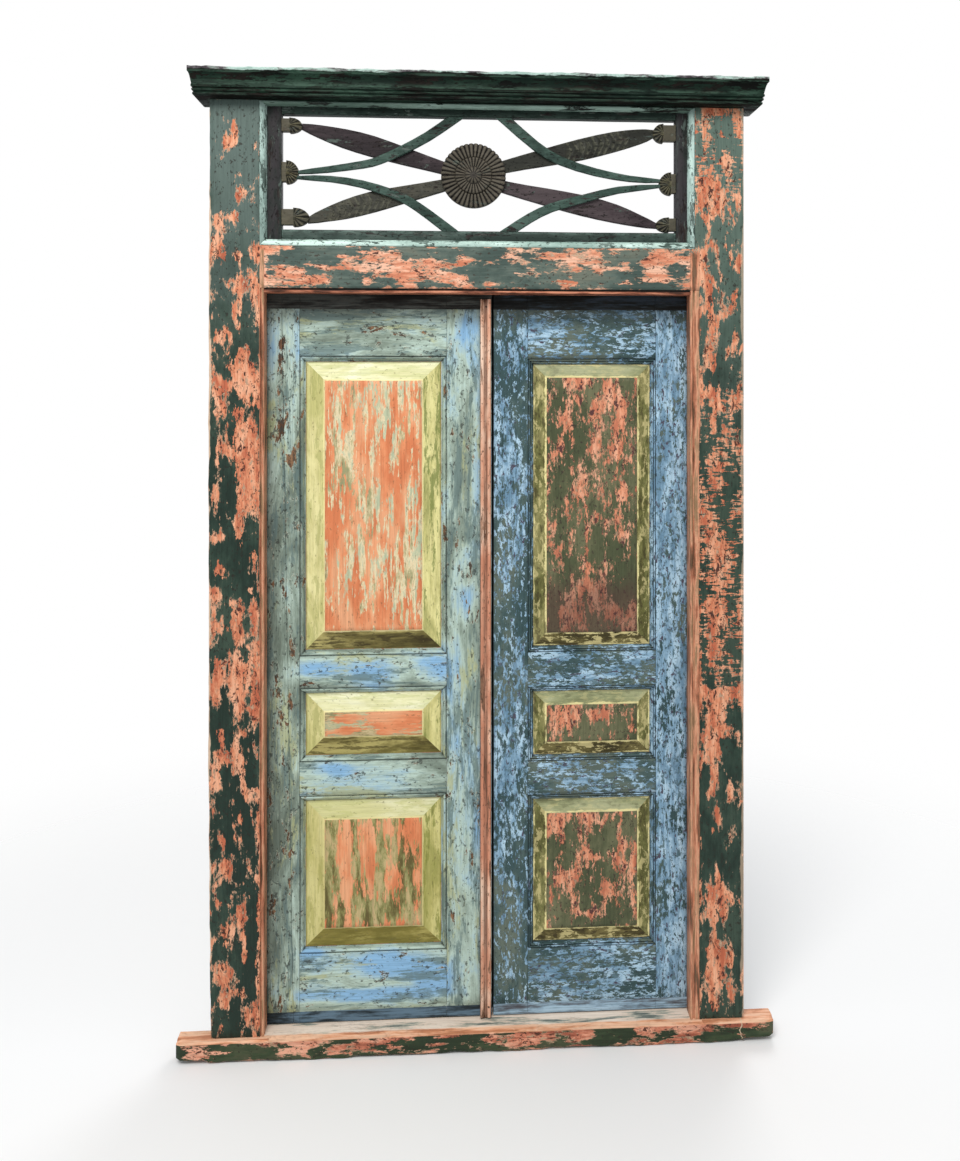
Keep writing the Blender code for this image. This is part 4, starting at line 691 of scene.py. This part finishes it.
def left_field(name, greens, level, seed, grain="Z", gain=0.16):
    """Coral worn through in streaks along the grain to beige, grey and green."""
    s = Shade(name, grain, seed)
    fine = s.noise(130, 0.25, 5, 0.7)
    streak = s.add(s.noise(66, 0.12, 6, 0.7, 0.3), s.swing(s.noise(14, 0.4), 0.5), s.swing(s.fibre, 0.35),
                   s.swing(fine, 0.5), s.times(s.attribute("tone"), gain))
    coral = s.blend(s.noise(22, 0.3), [(210, 124, 82), (224, 144, 100), (230, 166, 124)])
    under = s.blend(s.add(s.noise(30, 0.3, 6, 0.7, 0.4), s.swing(fine, 0.5)), greens)
    color = s.mix(s.band(streak, level, level + 0.03), coral, under)
    dots = s.band(s.noise(150, 0.35, 3, 0.7), 0.62, 0.66)
    color = s.mix(s.times(dots, 0.55), s.grained(color, 0.84, 1.05), (120, 92, 62))
    height = s.add(s.times(s.fibre, 0.6), s.times(fine, 0.4), s.times(streak, -0.5))
    return s.finish(color, s.band(fine, 0.3, 0.7, 0.52, 0.74), height)


field_upper = left_field("left_field_upper",
                         [(150, 150, 110), (200, 186, 144), (228, 210, 172), (180, 188, 156)], 0.497, 27)
field_middle = left_field("left_field_middle",
                          [(136, 134, 96), (180, 162, 118), (206, 186, 144), (170, 172, 138)], 0.445, 40,
                          "X")
field_lower = left_field("left_field_lower",
                         [(98, 88, 50), (130, 126, 76), (156, 152, 100), (190, 168, 122)], 0.465, 28,
                         gain=0.24)


def left_bevel(name, colors, streaks, amount, grain, seed):
    """Lime-yellow bevels: a wash of several tones, darker streaks, and a cream line at the field."""
    s = Shade(name, grain, seed)
    fine = s.noise(100, 0.3, 5, 0.7)
    wash = s.add(s.noise(15, 0.3, 5, 0.62, 0.5), s.swing(fine, 0.25))
    color = s.blend(wash, colors)
    streak = s.add(s.noise(52, 0.12, 6, 0.7, 0.4), s.swing(fine, 0.6))
    color = s.mix(s.band(streak, 0.51, 0.59, 0, amount), color, streaks)
    across = s.add(s.attribute("across"), s.swing(fine, 0.16))
    color = s.mix(s.band(across, 0.9, 0.96, 0, 0.85), color, (246, 232, 172))
    color = s.mix(s.band(across, 0.1, 0.01, 0, 0.65), color, (104, 96, 52))
    color = s.mix(s.band(s.axis("Z"), 1.05, 0.35, 0, 0.38), color, (162, 152, 66))
    dots = s.band(s.noise(130, 0.5, 3, 0.7), 0.625, 0.66)
    color = s.mix(s.times(dots, 0.5), s.grained(color, 0.88, 1.04), (112, 104, 62))
    height = s.add(s.times(s.fibre, 0.5), s.times(fine, 0.4), s.times(dots, -0.3))
    return s.finish(color, s.band(fine, 0.3, 0.7, 0.48, 0.7), height)


# The top bevels are painted paler and the foot bevels darker: painted light from above, over the bevels'
# own yellow and olive paint.
BEVELS_LEFT = [
    left_bevel("left_bevel_left", [(192, 188, 122), (214, 206, 144), (230, 222, 162)], (164, 164, 98), 0.6,
               "Z", 29),
    left_bevel("left_bevel_right", [(160, 160, 98), (196, 190, 124), (230, 222, 156)], (120, 130, 68), 0.85,
               "Z", 30),
    left_bevel("left_bevel_top_lit", [(222, 220, 166), (236, 234, 190), (244, 244, 210)], (196, 200, 134), 0.5,
               "X", 31),
    left_bevel("left_bevel_foot_shaded", [(70, 62, 30), (114, 104, 58), (176, 164, 104)], (54, 44, 22), 0.8, "X",
               32),
]


def right_bevel(name, colors, line, spot, grain, seed):
    """Olive-brown bevels with broken yellow lines at the field and at the opening."""
    s = Shade(name, grain, seed)
    fine = s.noise(110, 0.4, 5, 0.7)
    mid = s.noise(42, 0.4, 6, 0.68, 0.4)
    color = s.blend(s.add(s.noise(16, 0.3, 5, 0.62, 0.5), s.swing(fine, 0.3)), colors)
    across = s.add(s.attribute("across"), s.swing(fine, 0.3), s.swing(mid, 0.35))
    broken = s.band(mid, 0.42, 0.54)
    inner = s.times(s.band(across, 0.85, 0.9), s.band(mid, 0.38, 0.5))
    outer = s.times(s.band(across, 0.12, 0.06), s.invert(s.times(broken, 0.8)))
    color = s.mix(s.times(s.math("MAXIMUM", inner, outer), line), color, (234, 222, 160))
    spots = s.add(s.noise(60, 0.45, 6, 0.7, 0.4), s.swing(fine, 0.3))
    color = s.mix(s.band(spots, 0.54, 0.57, 0, spot), color, (216, 202, 144))
    color = s.mix(s.band(spots, 0.44, 0.4, 0, spot), color, (52, 42, 26))
    height = s.add(s.times(s.fibre, 0.5), s.times(fine, 0.4), s.times(spots, 0.3))
    return s.finish(s.grained(color, 0.84, 1.05), s.band(fine, 0.3, 0.7, 0.46, 0.68), height)


# The top bevel is painted paler and the foot bevel darker: painted light from above, over the olive paint.
right_side = right_bevel("right_bevel_side", [(88, 86, 46), (112, 112, 64), (142, 136, 88)], 1, 0.55, "Z",
                         33)
right_top_bevel_lit = right_bevel("right_bevel_top_lit", [(130, 134, 96), (152, 156, 116), (168, 170, 132)], 0.8, 0.25,
                        "X", 34)
right_foot_bevel_shaded = right_bevel("right_bevel_foot_shaded", [(54, 48, 24), (82, 74, 40), (116, 106, 64)], 0.9, 0.7,
                               "X", 35)
BEVELS_RIGHT = [right_side, right_side, right_top_bevel_lit, right_foot_bevel_shaded]


def browned(s, color):
    """Brown in the lower part of the upper panel, where water has stood."""
    z = s.axis("Z")
    ragged = s.add(z, s.swing(s.noise(24, 0.4), 0.16))
    low = s.times(s.band(ragged, STAIN_HEAD + 0.05, STAIN_HEAD - 0.05),
                  s.band(z, STAIN_FOOT - 0.01, STAIN_FOOT + 0.01))
    return s.mix(s.times(low, 0.62), color, (78, 52, 48))


# Ambient occlusion paints shade into the field's corners.
right_field = flaked("right_field", "Z", [(74, 80, 56), (92, 95, 68), (108, 108, 80)],
                     [(190, 114, 86), (218, 144, 110), (230, 170, 138)], 36, size=24, squash=0.42,
                     level=0.565, ragged=0.5, fray=0.7, gain=0.28, islands=0.59, deep=(88, 56, 54),
                     shade_and_dirt=(30, 26, 20), tint=browned, deep_level=0.57, rim=(206, 160, 132),
                     specks=(56, 44, 40))


def bead_lines(s, color):
    """Darker in the hollows of the astragal and along its sides, and a nail hole near each end."""
    z = s.axis("Z")
    x = s.math("SUBTRACT", s.axis("X"), ASTRAGAL_X)
    hollow = s.band(s.math("ABSOLUTE", x), 0.0056, 0.0036)
    side = s.band(s.math("ABSOLUTE", x), 0.0118, 0.014)
    ragged = s.band(s.noise(40, 0.12), 0.38, 0.56, 0.25, 0.8)
    color = s.mix(s.times(s.math("MAXIMUM", hollow, side), ragged), color, (104, 72, 56))
    for nail_x, nail_z in NAILS:
        dx = s.math("SUBTRACT", s.axis("X"), nail_x)
        dz = s.math("SUBTRACT", z, nail_z)
        away = s.math("SQRT", s.add(s.times(dx, dx), s.times(dz, dz)))
        color = s.mix(s.band(away, NAIL_R + 0.0007, NAIL_R - 0.0007), color, (46, 32, 26))
    return color


astragal_paint = flaked("astragal_paint", "Z", [(200, 136, 108), (222, 170, 142), (238, 204, 180)],
                        [(112, 82, 64), (150, 112, 88)], 37, size=30, squash=0.12, level=0.585,
                        streak=0.34, deep=(84, 62, 50), specks=(108, 76, 58), tint=bead_lines)
iron = flaked("hinge_iron", "Z", [(44, 38, 34), (58, 50, 44), (70, 60, 52)],
              [(96, 58, 36), (122, 74, 46)], 38, size=70, squash=1, level=0.58, rough=(0.42, 0.8))


def front(rows, y=0, less=0):
    """The rows' wear at each point, fading behind the plane y."""
    return lambda points: patches(rows, points, y) - less


def left_jamb_wear(points):
    """The left jamb's wear, with more of the green left above the strip's head."""
    above = np.clip((points[:, 2] - STRIP_HEAD) / 0.1 - 0.2, 0, 1)
    return patches(LEFT_JAMB_WEAR, points) - 0.16 - 0.3 * above


# Where the right jamb's coral is scored across the grain: height, reach and strength.
SCORED = [(1.3, 0.34, 1.3), (2.38, 0.12, 0.7)]


def jamb_tone(points):
    """How much the right jamb's coral is scored at each point."""
    total = sum(strength * np.exp(-((points[:, 2] - z) / reach) ** 2) for z, reach, strength in SCORED)
    return np.clip(total, 0, 1)


# The left jamb's outer arris is planed back left of this plane and in front of this one.
PLANED_X = -0.69
PLANED_Y = 0.02


def worn_edge(bm):
    """The left jamb's outer arris, planed back at its head and foot."""
    for v in bm.verts:
        if v.co.x < PLANED_X and v.co.y < PLANED_Y:
            z = v.co.z
            n = noise.noise(Vector((z * 7, 3, 0))) + 0.5 * noise.noise(Vector((z * 30, 8, 0)))
            back = 0.0035 + 0.004 * math.exp(-((z - 2.4) / 0.3) ** 2) + 0.007 * math.exp(-(z / 0.4) ** 2)
            v.co.x += max(0, back + 0.0035 * n) * (1 - max(v.co.y, 0) / PLANED_Y)


dress("left_jamb", [frame_left], "frame_paint", (0.012, None, 0.014), 0.0014, 0.0007,
      wear=left_jamb_wear, carve=worn_edge)
dress("right_jamb", [frame_right], "frame_paint", (0.012, None, 0.014), 0.0014, 0.0007,
      wear=front(RIGHT_JAMB_WEAR, 0, 0.16), tone=jamb_tone)
dress("transom_rail", [transom_paint], "frame_paint", (0.014, None, 0.01), None, 0.0005,
      wear=front(TRANSOM_WEAR))
dress("head_beam", [head_paint], "frame_paint", (0.03, None, 0.02), 0.001, 0.0004)


def worn_cornice(bm):
    """The front arris of the cornice's fillet is knocked down unevenly."""
    for v in bm.verts:
        if v.co.z > SHELF_TOP - 0.004 and (v.co.y < -0.045 or v.co.x < -0.735 or v.co.x > 0.75):
            n = noise.noise(Vector((v.co.x * 22, v.co.y * 22, 3)))
            m = noise.noise(Vector((v.co.x * 70, v.co.y * 70, 9)))
            v.co.z -= max(0, 0.0014 + 0.003 * n + 0.0016 * m)


dress("cornice", [cornice_paint], "frame_paint", (0.012, None, None), 0.0012, 0.0006, carve=worn_cornice)


def worn_sill(bm):
    """A ragged lower arris, and rounded corners on the horns."""
    for v in bm.verts:
        x, y, z = v.co
        if y > 0:
            continue
        if z < 0.004:
            n = noise.noise(Vector((x * 6, 2, 0))) + 0.5 * noise.noise(Vector((x * 24, 5, 0)))
            v.co.z += max(0, 0.0035 + 0.0065 * n)
            v.co.y += max(0, 0.001 + 0.003 * n)
        end = max(0, (abs(x) - 0.766) / 0.016)
        v.co.y += 0.006 * end * end
        v.co.z += (0.006 if z < 0.02 else -0.004 if z > 0.05 else 0) * end * end


dress("sill", [sill_paint], "bare_sill", (0.012, 0.012, 0.01), 0.0016, 0.0008,
      wear=front(SILL_WEAR, -0.014), carve=worn_sill)

dress("bead_bottom", [mint_level], "mint_bead", (0.012, None, None), None, 0.0005)
dress("bead_top", [mint_lost], "mint_bead", (0.012, None, None), None, 0.0005)
for name in ("bead_left", "bead_right"):
    dress(name, [mint_upright], "mint_bead", (None, None, 0.012), None, 0.0005)
for name in ("grille_stile_left", "grille_stile_right"):
    dress(name, [grille_v], "grille_paint", (0.02, None, 0.02), 0.001, 0.0005)
dress("grille_rail_top", [grille_dark], "grille_paint", (0.02, None, 0.02), 0.001, 0.0005)
dress("grille_rail_bottom", [grille_h], "grille_paint", (0.02, None, 0.02), 0.001, 0.0005)
for name in ("curved_bar_upper_left", "curved_bar_lower_left", "curved_bar_upper_right",
             "curved_bar_lower_right"):
    dress(name, [bar_paint], "grille_paint", (0.01, None, None), None, 0.0004)
dress("plain_bar", [plain_bar_paint], "carved_wood", (0.01, None, None), None, 0.0004)
dress("feathered_bar", [feather_paint], "carved_wood", (0.01, None, None), None, 0.0003)


def ridge(turn, count):
    """0 on a petal's crown, 1 in the cut beside it, for a part of a turn."""
    off = abs((turn * count) % 1 - 0.5) * 2
    return off ** 3


PETALS = 40
FLUTES = 30
BUTTON_LOBES = 12


def carve_rosette():
    """The rosette again, with the petals and flutes cut as rounded leaves between narrow grooves."""
    low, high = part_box("rosette")
    cx, cz, back, nose = (low.x + high.x) / 2, (low.z + high.z) / 2, high.y, low.y
    radius = (high.x - low.x) / 2
    disc, rim = nose + 0.004, nose + 0.0088
    steps = PETALS * 12
    # Each ring: radius as a part of the whole, depth, depth of the cuts, and how many there are.
    rings = [(0.985, back, 0, PETALS), (0.992, rim + 0.0075, 0.0018, PETALS),
             (0.985, rim + 0.003, 0.0042, PETALS), (0.955, rim + 0.001, 0.0042, PETALS)]
    rings += [(0.93 - 0.04 * k, rim - 0.0004, 0.0042, PETALS) for k in range(9)]
    rings += [(0.575, rim + 0.0006, 0.003, PETALS), (0.562, rim + 0.0028, 0.001, PETALS),
              (0.556, rim + 0.0028, 0.0006, FLUTES), (0.545, disc + 0.0014, 0.002, FLUTES)]
    rings += [(0.52 - 0.04 * k, disc + 0.0004 * k, 0.003, FLUTES) for k in range(6)]
    rings += [(0.275, disc + 0.0034, 0.001, FLUTES), (0.262, disc + 0.0036, 0.0004, BUTTON_LOBES),
              (0.245, disc - 0.0006, 0.001, BUTTON_LOBES), (0.2, nose + 0.0012, 0.001, BUTTON_LOBES),
              (0.13, nose + 0.0003, 0.0006, BUTTON_LOBES), (0.05, nose, 0.0002, BUTTON_LOBES)]
    bm = bmesh.new()
    layer = bm.verts.layers.float.new("groove")
    loops = []
    for part, depth, cut, count in rings:
        loop = []
        for k in range(steps):
            turn = k / steps
            cuts = ridge(turn, count) if cut else 0
            r = radius * part * (1 - (0.022 * cuts if part > 0.9 and cut else 0))
            angle = 2 * math.pi * turn
            v = bm.verts.new((cx + r * math.cos(angle), depth + cut * cuts, cz + r * math.sin(angle)))
            v[layer] = cuts if cut > 0.0005 else 0.25
            loop.append(v)
        loops.append(loop)
    for a, b in zip(loops, loops[1:]):
        for k in range(steps):
            n = (k + 1) % steps
            bm.faces.new((a[k], a[n], b[n], b[k]))
    bm.faces.new(loops[0])
    bm.faces.new(loops[-1])
    add_piece(bm, "rosette", [rosette_paint], "carved_wood", 0.9)


carve_rosette()

# The bosses' ribs, by node.
RIBS = {name: 11 if "side" in name else 7 for name in NODES if name.startswith("boss_")}


def carve_boss(node, ribs):
    """A boss cut finely enough for its ribs to show dark cuts."""
    bm = cad_copy(node)
    low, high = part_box(node)
    hub = min(NODES[node].data.vertices, key=lambda v: v.co.y).co
    side = 1 if hub.x < 0 else -1
    for axis in (0, 2):
        cut_grid(bm, axis, 0.0022)
    bmesh.ops.triangulate(bm, faces=bm.faces[:])
    layer = bm.verts.layers.float.new("groove")
    for v in bm.verts:
        dx, dz = (v.co.x - hub.x) * side, v.co.z - hub.z
        if dx > 0.0005 and v.co.y < hub.y + 0.012:
            turn = math.atan2(dz, dx) / math.pi + 0.5
            reach = min(1, math.hypot(dx, dz) / 0.008)
            cut = 0.5 - 0.5 * math.cos(2 * math.pi * turn * ribs)
            v[layer] = cut * cut * reach
            v.co.y += 0.001 * cut * cut * reach
    wander(bm, 0.0002, low, high)
    add_piece(bm, node, [boss_paint], "carved_wood", 0.8)


for name, ribs in RIBS.items():
    carve_boss(name, ribs)

LINE_LEAN = 0.0118
MOULDED_Y = 0.062


def pick_bands(face):
    """The slot of a face on a leaf: its own paint, the foot band or the head band."""
    c = face.calc_center_median()
    if c.y < MOULDED_Y and c.z < FOOT_LINE - LINE_LEAN:
        return 1
    if c.y < MOULDED_Y and c.z > HEAD_LINE + LINE_LEAN:
        return 2
    return 0


# The two leaves meet at the back of the gap, halfway between their CAD edges.
MEETING_X = (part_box("left_leaf_meeting_stile")[1].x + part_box("right_leaf_meeting_stile")[0].x) / 2
GAP_BACK_Y = 0.08
GAP_REACH = 0.0025


def close_gap(bm):
    """Brings the back of a meeting edge up to its neighbour, so that no light shows between them."""
    for v in bm.verts:
        if v.co.y > GAP_BACK_Y and abs(v.co.x - MEETING_X) < GAP_REACH:
            v.co.x = MEETING_X


def dress_leaf(side, upright, level, bands, rows, blue, offsets):
    """Dresses a leaf's frame. Offsets give each stile's own wear and tone."""
    for tail in list(offsets) + ["top_rail", "lock_rail", "low_rail", "bottom_rail"]:
        paint = level if tail.endswith("_rail") else upright
        more_wear, more_tone = offsets.get(tail, (0, 0))
        dress("%s_leaf_%s" % (side, tail), [paint] + bands, side + "_leaf_paint", (0.016, None, 0.016),
              0.001, 0.0006, wear=front(rows, 0.05, 0.15 - more_wear), tone=front(blue, 0.05, -more_tone),
              pick=pick_bands, close=close_gap if tail == "meeting_stile" else None)


dress_leaf("left", left_v, left_h, [left_foot, left_head_shade], LEFT_LEAF_BARE, LEFT_LEAF_BLUE,
           {"hinge_stile": (0.3, -0.1), "meeting_stile": (0.1, 0.25), "edge_board": (0.4, -0.2)})
dress_leaf("right", right_v, right_h, [right_foot, right_head_shade], RIGHT_LEAF_BLUE, [],
           {"hinge_stile": (0.75, 0), "meeting_stile": (0, 0)})


def panel(node, mats, slot, bevel, wear=None, tone=None):
    """A raised panel: the CAD shape cut into a grid, its field and four bevels in slots of their own."""
    low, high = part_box(node)
    flat = min(v.co.y for v in NODES[node].data.vertices)
    bm = cad_copy(node)
    x0, x1, z0, z1 = low.x + 0.008, high.x - 0.008, low.z + 0.008, high.z - 0.008
    kind = bm.faces.layers.int.new("kind")
    for f in bm.faces:
        n = f.normal
        if n.y > -0.2 or n.y < -0.9999 or f.calc_center_median().y > flat + 0.0155:
            f[kind] = 0
        elif abs(n.x) > abs(n.z):
            f[kind] = 1 if n.x < 0 else 2
        else:
            f[kind] = 3 if n.z > 0 else 4
    for axis in (0, 2):
        cut_grid(bm, axis, 0.014)
    wander(bm, 0.0005, low, high)
    for f in bm.faces:
        f.material_index = f[kind]

    def across(points):
        """0 at the opening and 1 at the field's edge and inside it."""
        x, z = points[:, 0], points[:, 2]
        inset = np.minimum(np.minimum(x - x0, x1 - x), np.minimum(z - z0, z1 - z))
        return np.clip(inset / bevel, 0, 1)
    add_piece(bm, node, mats, slot, wear=wear, tone=tone, across=across)


FIELD_Y = 0.0525
for place, field in (("upper", field_upper), ("middle", field_middle), ("lower", field_lower)):
    panel("left_leaf_%s_panel" % place, [field] + BEVELS_LEFT, "left_panel_paint", 0.051,
          tone=front(LEFT_FIELD_TONE, FIELD_Y))
    panel("right_leaf_%s_panel" % place, [right_field] + BEVELS_RIGHT, "right_panel_paint", 0.036,
          wear=front(RIGHT_FIELD_CORAL, FIELD_Y, 0.04))

dress("left_leaf_astragal", [astragal_paint], "astragal_paint", (None, None, 0.016), None, 0.0005)
for name in NODES:
    if name.startswith("hinge_"):
        dress(name, [iron], "hinge_iron", (None, None, None), 0.0005, 0)

# The floor: plain and pale, and it fades into the backdrop.
FLOOR_R = 3.2
mesh = bpy.data.meshes.new("floor")
ring = [2 * math.pi * k / 96 for k in range(96)]
mesh.from_pydata([(FLOOR_R * math.cos(a), FLOOR_R * math.sin(a), -0.0005) for a in ring], [],
                 [tuple(range(96))])
floor = bpy.data.objects.new("floor", mesh)
bpy.context.scene.collection.objects.link(floor)
s = Shade("floor_pale")
s.bsdf.inputs["Base Color"].default_value = (0.93, 0.93, 0.93, 1)
s.bsdf.inputs["Roughness"].default_value = 0.9
s.bsdf.inputs["Specular IOR Level"].default_value = 0.1
length = s.node("VectorMath", {0: s.place}, operation="LENGTH")
s.put(s.bsdf.inputs["Alpha"], s.band(length.outputs["Value"], FLOOR_R * 0.95, FLOOR_R * 0.3))
mesh.materials.append(s.mat)

# Soft studio light: a pale world, a large key above the front, and a weak fill from behind.
world = bpy.data.worlds.new("studio")
bpy.context.scene.world = world
world.use_nodes = True
w_nodes, w_links = world.node_tree.nodes, world.node_tree.links
w_nodes.clear()
out = w_nodes.new("ShaderNodeOutputWorld")
seen = w_nodes.new("ShaderNodeBackground")
lit = w_nodes.new("ShaderNodeBackground")
pick_ray = w_nodes.new("ShaderNodeMixShader")
path = w_nodes.new("ShaderNodeLightPath")
seen.inputs["Color"].default_value = (1, 1, 1, 1)
lit.inputs["Color"].default_value = (0.96, 0.98, 1, 1)
lit.inputs["Strength"].default_value = 0.62
w_links.new(path.outputs["Is Camera Ray"], pick_ray.inputs[0])
w_links.new(lit.outputs[0], pick_ray.inputs[1])
w_links.new(seen.outputs[0], pick_ray.inputs[2])
w_links.new(pick_ray.outputs[0], out.inputs["Surface"])


def area(name, place, target, size, power, color=(1, 1, 1)):
    data = bpy.data.lights.new(name, "AREA")
    data.shape = "DISK"
    data.size = size
    data.energy = power
    data.color = color
    obj = bpy.data.objects.new(name, data)
    obj.location = place
    obj.rotation_euler = (Vector(target) - Vector(place)).to_track_quat("-Z", "Y").to_euler()
    bpy.context.scene.collection.objects.link(obj)


area("key", (-0.9, -3.2, 4.6), (0, 0, 1.3), 2.2, 150, (1, 0.985, 0.96))
area("fill_back", (1.6, 3.6, 3.4), (0, 0, 1.3), 2.4, 60)

scene = bpy.context.scene
scene.view_settings.view_transform = "Standard"
scene.view_settings.look = "None"
scene.cycles.max_bounces = 4
scene.cycles.diffuse_bounces = 3
scene.cycles.glossy_bounces = 2
